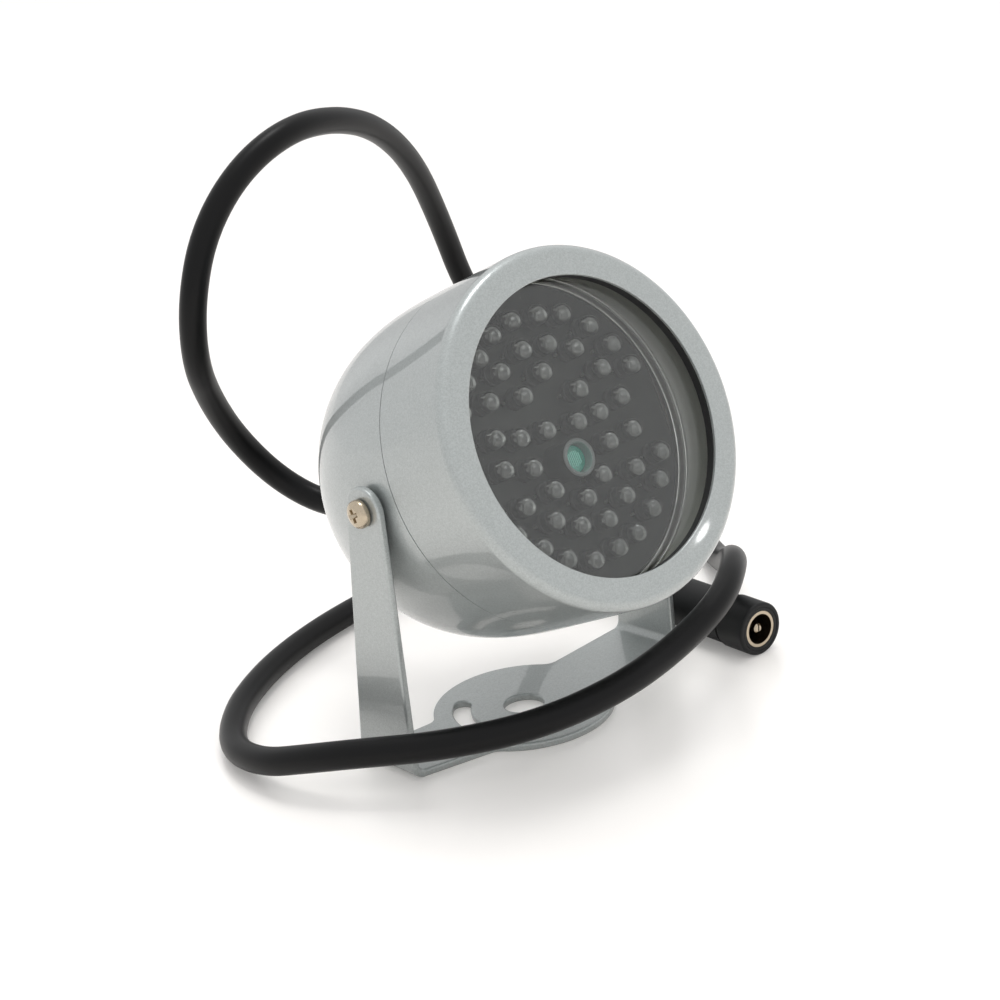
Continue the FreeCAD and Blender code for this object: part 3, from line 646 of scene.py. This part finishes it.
class ILLUM_OT_camera(Operator):
    """Place the camera at the photograph's viewing angle"""
    bl_idname = "illum.camera"
    bl_label = "Camera"

    def execute(self, context):
        spot = Vector((-241.335, -285.271, 179.907)) * MM
        right = Vector((0.73258, -0.67163, -0.11064))
        up = Vector((0.30577, 0.17949, 0.93503))
        forward = Vector((0.60814, 0.71881, -0.33685))
        data = bpy.data.cameras.new("camera")
        data.lens, data.sensor_width = 72, 36
        data.clip_start, data.clip_end = 0.01, 20
        camera = linked("camera", data)
        camera.matrix_world = Matrix.Translation(spot) @ Matrix((right, up, -forward)).transposed().to_4x4()
        context.scene.camera = camera
        return {"FINISHED"}


def route_line():
    """The cord's centreline: one smooth spline over the whole route, and where its lead ends."""
    curve = bpy.data.curves.new("cord_route", "CURVE")
    curve.dimensions = "3D"
    spline = add_spline(curve, "NURBS", CORD_ROUTE)
    spline.order_u = 3
    spline.use_endpoint_u = True
    spline.resolution_u = 14
    carrier = linked("cord_route", curve)
    mesh = result(carrier)
    line = [vertex.co.copy() for vertex in mesh.vertices]
    bpy.data.objects.remove(carrier)
    bpy.data.meshes.remove(mesh)
    middle = (Vector(CORD_ROUTE[LEAD_END]) + Vector(CORD_ROUTE[LEAD_END + 1])) / 2
    split = min(range(len(line)), key=lambda i: (line[i] - middle).length)
    return line, split


class ILLUM_OT_cord(Operator):
    """Lay the cord from the gland round the bracket to the socket"""
    bl_idname = "illum.cord"
    bl_label = "Cord"

    def execute(self, context):
        diameter = context.scene.cord_settings.diameter
        line, split = route_line()
        lead_line, loop_line = line[:split + 1], line[split:]
        loop = piece("cord_loop_jacket", tube(loop_line, diameter / 2), extruded_pvc_jacket,
                     "cord_loop", STILL, "bracket")
        lead = piece("cord_lead_jacket", tube(lead_line, diameter / 2), extruded_pvc_jacket,
                     "cord_lead", STILL, None)
        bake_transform(lead)
        return {"FINISHED"}


# Bracket

def neck(corner, meet):
    """The fillet's arc from the strip's edge to the disc."""
    along = (meet - corner).normalized()
    out = Vector((-along.y, along.x))
    if out.y * meet.y < 0:
        out = -out
    start = corner + out * NECK_FILLET - DISC_CENTRE
    reach = DISC_RADIUS + NECK_FILLET
    half = start.dot(along)
    root = sqrt(half * half - start.length_squared + reach ** 2)
    centre = DISC_CENTRE + start - along * (half + root)
    on_disc = DISC_CENTRE + (centre - DISC_CENTRE) * DISC_RADIUS / reach
    return arc(centre, centre - out * NECK_FILLET, on_disc, 6)


def blank_outline():
    """The flat blank: two tapered legs with round ends on a strip that widens to the disc."""
    neck_x = sqrt(DISC_RADIUS ** 2 - NECK_HALF ** 2)
    foot = STRIP_HALF + BEND_LENGTH
    leg_top = foot + LEG_LENGTH
    runs = []
    for side_x, side_y in ((-1, -1), (1, -1), (1, 1), (-1, 1)):
        edge = STRIP_FRONT if side_y < 0 else STRIP_REAR
        corner = Vector((side_x * STRIP_HALF, edge))
        meet = DISC_CENTRE + Vector((side_x * neck_x, side_y * NECK_HALF))
        ankle = Vector((side_x * foot, edge))
        line = Vector((side_x * leg_top, PIVOT.y)) - ankle
        spin = Matrix.Rotation(asin(LEG_TOP_RADIUS / line.length) * side_x * side_y, 2)
        reach = sqrt(line.length ** 2 - LEG_TOP_RADIUS ** 2)
        runs.append([ankle + (spin @ line).normalized() * reach, ankle, corner] + neck(corner, meet))
    outline = []
    for i, side_x in ((0, 1), (2, -1)):
        out, back, following = runs[i], runs[i + 1], runs[(i + 2) % 4]
        outline += out + arc(DISC_CENTRE, out[-1], back[-1], 28)[1:-1] + back[::-1]
        outline += arc(Vector((side_x * leg_top, PIVOT.y)), back[0], following[0], 24)[1:-1]
    return outline


def circle(centre, radius, count):
    """Points round a circle, clockwise."""
    return [Vector(centre) + radius * heading(-tau * k / count) for k in range(count)]


def slot_outline():
    """The curved slot round the centre hole, with round ends, clockwise."""
    steps, end_steps = 24, 10
    middle, half = (SLOT_INNER + SLOT_OUTER) / 2, (SLOT_OUTER - SLOT_INNER) / 2
    turns = [radians(180 - SLOT_HALF_ANGLE + 2 * SLOT_HALF_ANGLE * k / steps) for k in range(steps + 1)]
    near, far = ([DISC_CENTRE + radius * heading(t) for t in turns] for radius in (SLOT_INNER, SLOT_OUTER))
    ends = []
    for turn, flip in ((turns[-1], 0), (turns[0], pi)):
        centre = DISC_CENTRE + middle * heading(turn)
        ends.append([centre + half * heading(turn + flip + pi * k / end_steps)
                     for k in range(1, end_steps)])
    return (far + ends[0] + near[::-1] + ends[1])[::-1]


def bent(point, half_sheet):
    """Where a point of the flat blank lies once the legs are bent up."""
    u, y, w = point
    side = 1 if u > 0 else -1
    reach = abs(u)
    radius = SHEET_MIDDLE_BEND - w
    rise = SHEET_MIDDLE_BEND + half_sheet
    if reach <= STRIP_HALF:
        return Vector((PIVOT.x + u, y, w + half_sheet))
    if reach < STRIP_HALF + BEND_LENGTH:
        turn = (reach - STRIP_HALF) / SHEET_MIDDLE_BEND
        x = STRIP_HALF + radius * sin(turn)
        return Vector((PIVOT.x + side * x, y, rise - radius * cos(turn)))
    return Vector((PIVOT.x + side * (STRIP_HALF + radius), y, rise + reach - STRIP_HALF - BEND_LENGTH))


class ILLUM_OT_bracket(Operator):
    """Blank the bracket from sheet with rounded edges and bend its legs up"""
    bl_idname = "illum.bracket"
    bl_label = "Bracket"

    def execute(self, context):
        settings = context.scene.bracket_settings
        sheet, edge = settings.thickness / MM, settings.edge / MM
        curve = bpy.data.curves.new("blank", "CURVE")
        curve.dimensions = "2D"
        curve.fill_mode = "BOTH"
        curve.extrude = sheet / 2 - edge
        curve.bevel_depth = edge
        curve.bevel_resolution = 3
        curve.offset = -edge
        pivot_x = STRIP_HALF + BEND_LENGTH + LEG_LENGTH
        loops = [blank_outline(), circle(DISC_CENTRE, CENTRE_HOLE, 48), slot_outline()]
        loops += [circle((side * pivot_x, PIVOT.y), PIVOT_HOLE, 24) for side in (-1, 1)]
        for loop in loops:
            add_spline(curve, "POLY", loop).use_cyclic_u = True
        carrier = linked("blank", curve)
        flat = result(carrier)
        shape = bmesh.new()
        shape.from_mesh(flat)
        bpy.data.objects.remove(carrier)
        bpy.data.meshes.remove(flat)
        bmesh.ops.remove_doubles(shape, verts=shape.verts, dist=0.002)
        for side in (-1, 1):
            for step in range(BEND_STEPS + 1):
                cut = side * (STRIP_HALF + BEND_LENGTH * step / BEND_STEPS)
                bmesh.ops.bisect_plane(shape, geom=shape.verts[:] + shape.edges[:] + shape.faces[:],
                                       plane_co=(cut, 0, 0), plane_no=(1, 0, 0))
        for vertex in shape.verts:
            vertex.co = bent(vertex.co, sheet / 2)
        bmesh.ops.recalc_face_normals(shape, faces=shape.faces)
        piece("bent_bracket", shape, sprayed_silver_paint, "mounting_bracket", BRACKET_PLACE,
              "bracket")
        return {"FINISHED"}


# Head

def dome_curve(radius, start, end, count):
    """The dome's profile from its rim to near the axis, full at the sides and blunt behind."""
    return [Vector((radius * cos(t) ** (2 / DOME_ROUNDNESS),
                    start - (start - end) * sin(t) ** (2 / DOME_FULLNESS)))
            for t in (pi / 2 * k / count for k in range(count))]


class ILLUM_OT_shells(Operator):
    """Turn the front barrel and the rear dome, with the bosses for the pivot screws"""
    bl_idname = "illum.shells"
    bl_label = "Shells"

    def execute(self, context):
        edge = context.scene.head_settings.edge / MM
        barrel = [
            (BEZEL_INSIDE, BEZEL_FRONT, 0.25), (HEAD_RADIUS, BEZEL_FRONT, edge),
            (HEAD_RADIUS, SEAM_FRONT, 0.12), (SPIGOT_RADIUS, SEAM_FRONT, 0),
            (SPIGOT_RADIUS, SPIGOT_BACK, 0.2), (BORE_RADIUS, SPIGOT_BACK, 0.1),
        ]
        for groove, fillet in ((REAR_GROOVE, 0), (FRONT_GROOVE, 0.08)):
            front = groove + GROOVE_WIDTH
            barrel += [(BORE_RADIUS, groove, fillet), (GROOVE_RADIUS, groove, 0),
                       (GROOVE_RADIUS, front, 0), (BORE_RADIUS, front, fillet)]
        barrel += [(BORE_RADIUS, BEZEL_BACK, 0), (BEZEL_INSIDE, BEZEL_BACK, 0.15)]
        shell = piece("turned_barrel", turned(rounded(barrel), 192), sprayed_silver_paint,
                      "front_barrel")
        primer_back, primer_front = 9, 27.5
        second_finish(shell, flat_grey_primer, lambda spot: primer_back < spot.z < primer_front
                      and hypot(spot.x, spot.y) < SPIGOT_RADIUS)

        hole, pad, inner_pad = 4.0, 5.7, 5.6
        pad_back, pad_front = DOME_END + 0.2, DOME_END + 1.8
        skin = [point for point in dome_curve(HEAD_RADIUS, SEAM_BACK, DOME_END, 90) if point.x > pad + 0.2]
        inner = [point for point in dome_curve(HEAD_RADIUS - DOME_WALL, SEAM_BACK - 0.27,
                                               DOME_END + DOME_WALL, 60) if point.x > inner_pad]
        seat = rounded([(pad, pad_back, 0.15), (hole, pad_back, 0.1), (hole, pad_front, 0)])
        outline = [Vector((HEAD_RADIUS - 0.12, SEAM_BACK + 0.03))] + skin + seat
        outline += [Vector((inner_pad, pad_front - 0.1))] + inner[::-1]
        parts = [(turned(outline, 192), STILL)]
        boss_radius, boss_back, boss_front = 3.4, 28.6, 35.6
        for side in (-1, 1):
            boss = turned(section(PIVOT_HOLE, boss_radius, boss_back, boss_front, (0, 0, 0.2, 0.1)), 48)
            parts.append((boss, pivot_place(side)))
        piece("spun_dome", join(parts), sprayed_silver_paint, "rear_dome")
        return {"FINISHED"}


class ILLUM_OT_screws(Operator):
    """Form the two pan-head pivot screws with their cross recesses"""
    bl_idname = "illum.screws"
    bl_label = "Pivot screws"

    def execute(self, context):
        head_radius, shank_radius, shank_end = 2.8, 1.5, 28.7
        driver_tip, driver_end, driver_depth, driver_squeeze = 0.5, 2.6, 2.2, 0.33
        for name, side in (("left", -1), ("right", 1)):
            pan = turned(rounded([(0, SCREW_SEAT, 0), (head_radius, SCREW_SEAT, 0.12),
                                  (head_radius, SCREW_TOP - 0.55, 1.0), (head_radius / 2, SCREW_TOP, 0.6),
                                  (0, SCREW_TOP, 0)]), 64)
            cross = bmesh.new()
            for turn in (0, pi / 2):
                blade = (Matrix.Translation((0, 0, SCREW_TOP - 0.4)) @ Matrix.Rotation(turn, 4, "Z")
                         @ Matrix.Diagonal((driver_squeeze, 1, 1, 1)) @ Matrix.Rotation(pi / 4, 4, "Z"))
                bmesh.ops.create_cone(cross, cap_ends=True, segments=4, radius1=driver_tip,
                                      radius2=driver_end, depth=driver_depth, matrix=blade)
            holder = linked("head", bpy.data.meshes.new("head"))
            cutter = linked("driver", bpy.data.meshes.new("driver"))
            pan.to_mesh(holder.data)
            cross.to_mesh(cutter.data)
            cut = holder.modifiers.new("cross", "BOOLEAN")
            cut.operation, cut.object, cut.solver, cut.use_self = "DIFFERENCE", cutter, "EXACT", True
            recessed = bmesh.new()
            recessed.from_mesh(result(holder))
            for item in (holder, cutter):
                bpy.data.objects.remove(item)
            shank = turned([Vector(point) for point in (
                (0, shank_end), (shank_radius - 0.3, shank_end), (shank_radius, shank_end + 0.3),
                (shank_radius, SCREW_SEAT + 0.1), (0, SCREW_SEAT + 0.1))], 48)
            piece(f"pivot_screw_{name}_detailed", join([(recessed, STILL), (shank, STILL)]),
                  nickel_plated_steel, "pivot_screw_" + name, LAMP_PLACE @ pivot_place(side),
                  sharp=28)
        return {"FINISHED"}


class ILLUM_OT_window(Operator):
    """Set the glass window and its gasket in the bezel"""
    bl_idname = "illum.window"
    bl_label = "Window"

    def execute(self, context):
        glass_back, glass_front, glass_radius = 23.4, 25.4, 32.5
        glass = turned(section(0, glass_radius, glass_back, glass_front, (0, 0.2, 0.2, 0)))
        piece("window_pane", glass, clear_float_glass, "window_glass")
        seal = turned(section(BEZEL_INSIDE + 0.1, BORE_RADIUS - 0.1, glass_front + 0.02, BEZEL_BACK - 0.02,
                              (0.2, 0, 0, 0.2)))
        piece("window_seal", seal, moulded_nitrile_rubber, "window_gasket")
        refinish(grey_seam_silicone, "seam_gasket")
        return {"FINISHED"}


# Board and diodes

class ILLUM_OT_board(Operator):
    """Finish the board, the rings that hold it and the parts on its back"""
    bl_idname = "illum.board"
    bl_label = "Board"

    def execute(self, context):
        ring_radius, ring_gap = 31.4, 0.02
        ring = turned(section(ring_radius, GROOVE_RADIUS - 0.1, FRONT_GROOVE + ring_gap,
                              FRONT_GROOVE + GROOVE_WIDTH - ring_gap, (0.2, 0, 0, 0.25)), 160)
        piece("front_ring", ring, bright_spring_steel, "snap_ring_front")
        bead_radius, bead_back, bead_front = 32.2, 13.8, 14.5
        bead = turned(section(bead_radius, BORE_RADIUS - 0.05, bead_back, bead_front,
                              (0.15, 0, 0, 0.25)), 160)
        piece("ring_bead", bead, bright_spring_steel)
        refinish(black_solder_mask, "led_board")
        refinish(bright_spring_steel, "snap_ring_rear")
        refinish(moulded_black_plastic, "ballast_resistors", "driver_transistor", "rectifier_diode",
                 "cable_tie")
        refinish(drawn_aluminium_can, "filter_capacitor")
        refinish(red_wire_insulation, "supply_wires")
        refinish(extruded_pvc_jacket, "cord_inner_end")
        return {"FINISHED"}


def leads(back, front):
    """The two square leads of a part that stands on the board."""
    return [(box((x - LEAD_HALF, -LEAD_HALF, back), (x + LEAD_HALF, LEAD_HALF, front)), STILL)
            for x in (-LEAD_PLACE, LEAD_PLACE)]


def lens():
    """One diode's resin body: its flange, its straight side and its dome."""
    side = rounded([(0, FLANGE_BACK, 0), (LENS_RADIUS + 0.2, FLANGE_BACK, 0.1),
                    (LENS_RADIUS + 0.2, FLANGE_FRONT, 0.15), (LENS_RADIUS, FLANGE_FRONT, 0.1),
                    (LENS_RADIUS, PAINTED_SHADE_FRONT, 0), (LENS_RADIUS, LENS_MIDDLE, 0)])
    steps = 14
    dome = [Vector((0, LENS_MIDDLE)) + LENS_RADIUS * heading(pi / 2 * k / steps)
            for k in range(1, steps + 1)]
    return turned(side + dome, 40)


def lead_frame():
    """What shows inside one diode: the cup with its post, the thin post, the leads and two bright bars."""
    cup = turned([Vector((x, FLANGE_BACK + rise)) for x, rise in (
        (0, 2.0), (0.7, 2.0), (0.95, 2.9), (0.75, 2.9), (0.35, 2.4), (0, 2.4))], 24)
    parts = [(cup, Matrix.Translation((0.25, -0.1, 0)))]
    for low, high, rise in ((0.1, 1.27, 2.1), (-1.1, -0.55, 2.9)):
        parts.append((box((low, -LEAD_HALF, FLANGE_BACK), (high, LEAD_HALF, FLANGE_BACK + rise)), STILL))
    parts += leads(BOARD_FRONT, FLANGE_BACK)
    middle = Vector((0, 0, LENS_MIDDLE))
    for ends in (((-0.73, 0.9, -0.59), (-0.18, 0.63, -0.16)), ((-0.11, 0.34, -0.1), (-0.43, -0.62, -0.3))):
        parts.append((tube([middle + Vector(end) for end in ends], 0.19, 8), STILL))
    return join(parts)


class ILLUM_OT_diodes(Operator):
    """Cast the diodes' lenses round their lead frames and set them in rings on the board"""
    bl_idname = "illum.diodes"
    bl_label = "Diodes"

    def execute(self, context):
        body, inside = lens(), lead_frame()
        for name, places in (("outer_ring", OUTER_RING), ("second_ring", SECOND_RING),
                             ("third_ring", THIRD_RING), ("centre", CENTRE_PAIR)):
            spots = [Matrix.Translation((r * sin(radians(a)), r * cos(radians(a)), 0)) for a, r in places]
            made = piece(name + "_lenses", join([(body, spot) for spot in spots]), cast_smoked_epoxy,
                         "leds_" + name)
            # The flange and lower side of each lens take painted shade, black as the board
            second_finish(made, black_painted_shade, lambda spot: spot.z < PAINTED_SHADE_FRONT)
            piece(name + "_lead_frames", join([(inside, spot) for spot in spots]), tinned_lead_frame)
        return {"FINISHED"}


class ILLUM_OT_photocell(Operator):
    """Set the photocell in its sleeve"""
    bl_idname = "illum.photocell"
    bl_label = "Photocell"

    def execute(self, context):
        place = LAMP_PLACE @ Matrix.Translation((CELL_X, CELL_UP, 0))
        cell_radius, cell_back = 2.8, CELL_FRONT - 2
        disc = turned(section(0, cell_radius, cell_back, CELL_FRONT, (0, 0.2, 0.4, 0)), 48)
        cell = join([(disc, STILL)] + leads(BOARD_FRONT, cell_back + 0.1))
        piece("photocell_disc", cell, cadmium_sulphide_cell, "photocell", place)

        rows, pitch, track_radius, margin = 7, 0.45, 1.9, 0.35
        points = []
        for row in range(rows):
            x = pitch * (row - (rows - 1) / 2)
            reach = sqrt(track_radius ** 2 - x * x) - margin
            ends = [Vector((x, -reach, CELL_FRONT)), Vector((x, reach, CELL_FRONT))]
            points += ends if row % 2 == 0 else ends[::-1]
        piece("photocell_track", tube(points, 0.13, 8), cell_track_lines, place=place)

        inside, outside = 2.9, 3.75
        sleeve = turned(section(inside, outside, BOARD_FRONT, COLLAR_FRONT, (0, 0, 0.3, 0.25)), 64)
        made = piece("photocell_sleeve", sleeve, milky_nylon_sleeve, "photocell_collar",
                     place)

        def off_axis(spot):
            """The distance from the photocell's own axis."""
            return hypot(spot.x - CELL_X, spot.y - CELL_UP)

        # The sleeve's outer side below its lip takes painted shade, black as the board
        second_finish(made, black_painted_shade,
                      lambda spot: spot.z < COLLAR_FRONT - 0.4 and off_axis(spot) > outside - 0.25)
        # The sleeve's inside takes a painted reflection of the cell's teal
        second_finish(made, teal_painted_reflection, lambda spot: off_axis(spot) < inside + 0.1)
        return {"FINISHED"}


class ILLUM_OT_gland(Operator):
    """Mould the rubber gland where the cord leaves the dome"""
    bl_idname = "illum.gland"
    bl_label = "Gland"

    def execute(self, context):
        bore, flange, waist, nose = 2.9, 5.2, 3.95, 3.7
        outline = rounded([
            (bore, -32.2, 0.1), (flange, -32.2, 0.3), (flange, -33.78, 0.1), (waist, -33.78, 0),
            (waist, -35.4, 0), (flange, -35.4, 0.1), (flange, -36.9, 0.5), (waist + 0.15, -37.1, 0.2),
            (waist, -38.0, 0.1), (nose, -39.8, 0.3), (bore, -39.8, 0.1),
        ])
        piece("moulded_gland", turned(outline, 64), moulded_nitrile_rubber, "cable_gland")
        return {"FINISHED"}


# Socket

class ILLUM_OT_socket(Operator):
    """Mould the power socket's body and ribbed relief, and finish its contacts"""
    bl_idname = "illum.socket"
    bl_label = "Power socket"

    def execute(self, context):
        groove = JACK_BODY_RADIUS - 0.3
        body = rounded([
            (JACK_BORE, 0, 0.2), (JACK_RADIUS, 0, 0.55), (JACK_RADIUS, JACK_COLLAR_END, 0.25),
            (groove, JACK_COLLAR_END, 0.1), (groove, JACK_GROOVE_END, 0.1),
            (JACK_BODY_RADIUS, JACK_GROOVE_END, 0.15), (JACK_BODY_RADIUS, JACK_BODY_END, 0.4),
            (0, JACK_BODY_END, 0), (0, JACK_BORE_END, 0), (JACK_BORE, JACK_BORE_END, 0),
        ])
        piece("socket_body", turned(body, 96), moulded_black_plastic, "jack_housing",
              JACK_PLACE, "bracket")
        ribs = [(RELIEF_RADIUS, JACK_BODY_END, 0)]
        for number in range(1, RELIEF_RIBS + 1):
            middle = JACK_BODY_END + RIB_PITCH * number
            near, far = middle - RIB_GAP / 2, middle + RIB_GAP / 2
            surface = RELIEF_RADIUS - number / 6
            ribs += [(surface, near, 0.2), (surface - RIB_DEPTH, near, 0.15),
                     (surface - RIB_DEPTH, far, 0.15), (surface, far, 0.2)]
        ribs += [(RELIEF_RADIUS - 1, RELIEF_END, 0.3), (0, RELIEF_END, 0), (0, JACK_BODY_END, 0)]
        piece("socket_relief", turned(rounded(ribs), 64), moulded_black_plastic,
              "jack_strain_relief", JACK_PLACE, "bracket")
        refinish(moulded_black_plastic, "jack_insulator")
        refinish(nickel_plated_steel, "jack_sleeve", "jack_pin")
        return {"FINISHED"}


# Stage

def white_tent(strength):
    """The world: white to the eye and in mirrors, greyer in mirrors behind the object, and a soft tent."""
    world = bpy.data.worlds.new("white_tent")
    world.use_nodes = True
    tree = world.node_tree
    tree.nodes.clear()
    path = add(tree, "ShaderNodeLightPath")
    seen = path.outputs["Is Camera Ray"]
    for ray in ("Is Glossy Ray", "Is Transmission Ray"):
        seen = add(tree, "ShaderNodeMath", {"operation": "MAXIMUM"}, {0: seen, 1: path.outputs[ray]})
    ahead = (0.646, 0.763, 0)
    place = add(tree, "ShaderNodeTexCoord").outputs["Generated"]
    behind = add(tree, "ShaderNodeVectorMath", {"operation": "DOT_PRODUCT", 1: ahead}, {0: place})
    shade = add(tree, "ShaderNodeMapRange",
                {"From Min": 0.84, "From Max": 0.95, "To Min": 0.05, "To Max": 0.4},
                {"Value": behind.outputs["Value"]})
    less = add(tree, "ShaderNodeMath", {"operation": "MULTIPLY"},
               {0: shade, 1: path.outputs["Is Glossy Ray"]})
    dim = add(tree, "ShaderNodeMath", {"operation": "SUBTRACT", 0: 1.0}, {1: less})
    tent = add(tree, "ShaderNodeBackground", {"Color": rgba(srgb("#fdfdff")), "Strength": strength})
    white = add(tree, "ShaderNodeBackground", {"Color": (1, 1, 1, 1)}, {"Strength": dim})
    both = add(tree, "ShaderNodeMixShader", {}, {0: seen, 1: tent, 2: white})
    add(tree, "ShaderNodeOutputWorld", {}, {"Surface": both})
    return world


class ILLUM_OT_stage(Operator):
    """Lay the white floor and hang the lights"""
    bl_idname = "illum.stage"
    bl_label = "Stage"

    def execute(self, context):
        scene = context.scene
        settings = scene.stage_settings
        scene.view_settings.view_transform = "Standard"
        scene.world = white_tent(settings.ambient)

        shape = bmesh.new()
        bmesh.ops.create_grid(shape, x_segments=1, y_segments=1, size=4.0)
        mesh = bpy.data.meshes.new("floor")
        shape.to_mesh(mesh)
        mesh.materials.append(finish(seamless_white_paper))
        linked("floor", mesh)

        middle = Vector((0, 0, 0.04))
        # Name, kind, strength, sun's angle or disc's width, bearing and height in degrees, distance, mirrored
        for name, kind, power, spread, turn, rise, reach, mirrored in (
                ("lit_backdrop", "SUN", settings.backdrop, 0.9, 60, 45, 0.9, False),
                ("softbox_overhead", "SUN", settings.softbox, 0.4, 15, 78, 0.9, True),
                ("fill_lamp", "AREA", settings.fill, 0.3, 250, 38, 0.5, False),
                ("glint_lamp", "AREA", 0.007, 0.012, 312.6, 11.2, 0.64, True)):
            data = bpy.data.lights.new(name, kind)
            data.energy = power
            if kind == "SUN":
                data.angle = spread
            else:
                data.shape, data.size = "DISK", spread
            turn, rise = radians(turn), radians(rise)
            flat = heading(turn) * cos(rise)
            away = Vector((flat.x, flat.y, sin(rise)))
            lamp = linked(name, data)
            lamp.location = middle + away * reach
            lamp.rotation_euler = away.to_track_quat("Z", "Y").to_euler()
            lamp.visible_camera = False
            lamp.visible_glossy = mirrored
        return {"FINISHED"}


# Panel and run

STEPS = (
    ILLUM_OT_camera, ILLUM_OT_cord, ILLUM_OT_bracket, ILLUM_OT_shells, ILLUM_OT_screws, ILLUM_OT_window,
    ILLUM_OT_board, ILLUM_OT_diodes, ILLUM_OT_photocell, ILLUM_OT_gland, ILLUM_OT_socket, ILLUM_OT_stage,
)
SETTINGS = {
    "cord_settings": CordSettings, "head_settings": HeadSettings, "bracket_settings": BracketSettings,
    "board_settings": BoardSettings, "stage_settings": StageSettings,
}


class ILLUM_PT_panel(Panel):
    """Settings and steps of the illuminator"""
    bl_idname = "ILLUM_PT_panel"
    bl_label = "Infrared illuminator"
    bl_space_type = "VIEW_3D"
    bl_region_type = "UI"
    bl_category = "Illuminator"

    def draw(self, context):
        for name in SETTINGS:
            group = getattr(context.scene, name)
            column = self.layout.box().column()
            for key in group.__annotations__:
                column.prop(group, key)
        for step in STEPS:
            self.layout.operator(step.bl_idname)


def register():
    """Registers the settings, the operators and the panel."""
    for name, group in SETTINGS.items():
        bpy.utils.register_class(group)
        setattr(bpy.types.Scene, name, PointerProperty(type=group))
    for cls in (*STEPS, ILLUM_PT_panel):
        bpy.utils.register_class(cls)


def unregister():
    """Takes back what register did."""
    for cls in (ILLUM_PT_panel, *reversed(STEPS)):
        bpy.utils.unregister_class(cls)
    for name, group in SETTINGS.items():
        delattr(bpy.types.Scene, name)
        bpy.utils.unregister_class(group)


def main():
    """Builds everything in order."""
    register()
    for step in STEPS:
        group, name = step.bl_idname.split(".")
        getattr(getattr(bpy.ops, group), name)()


if __name__ == "__main__":
    main()
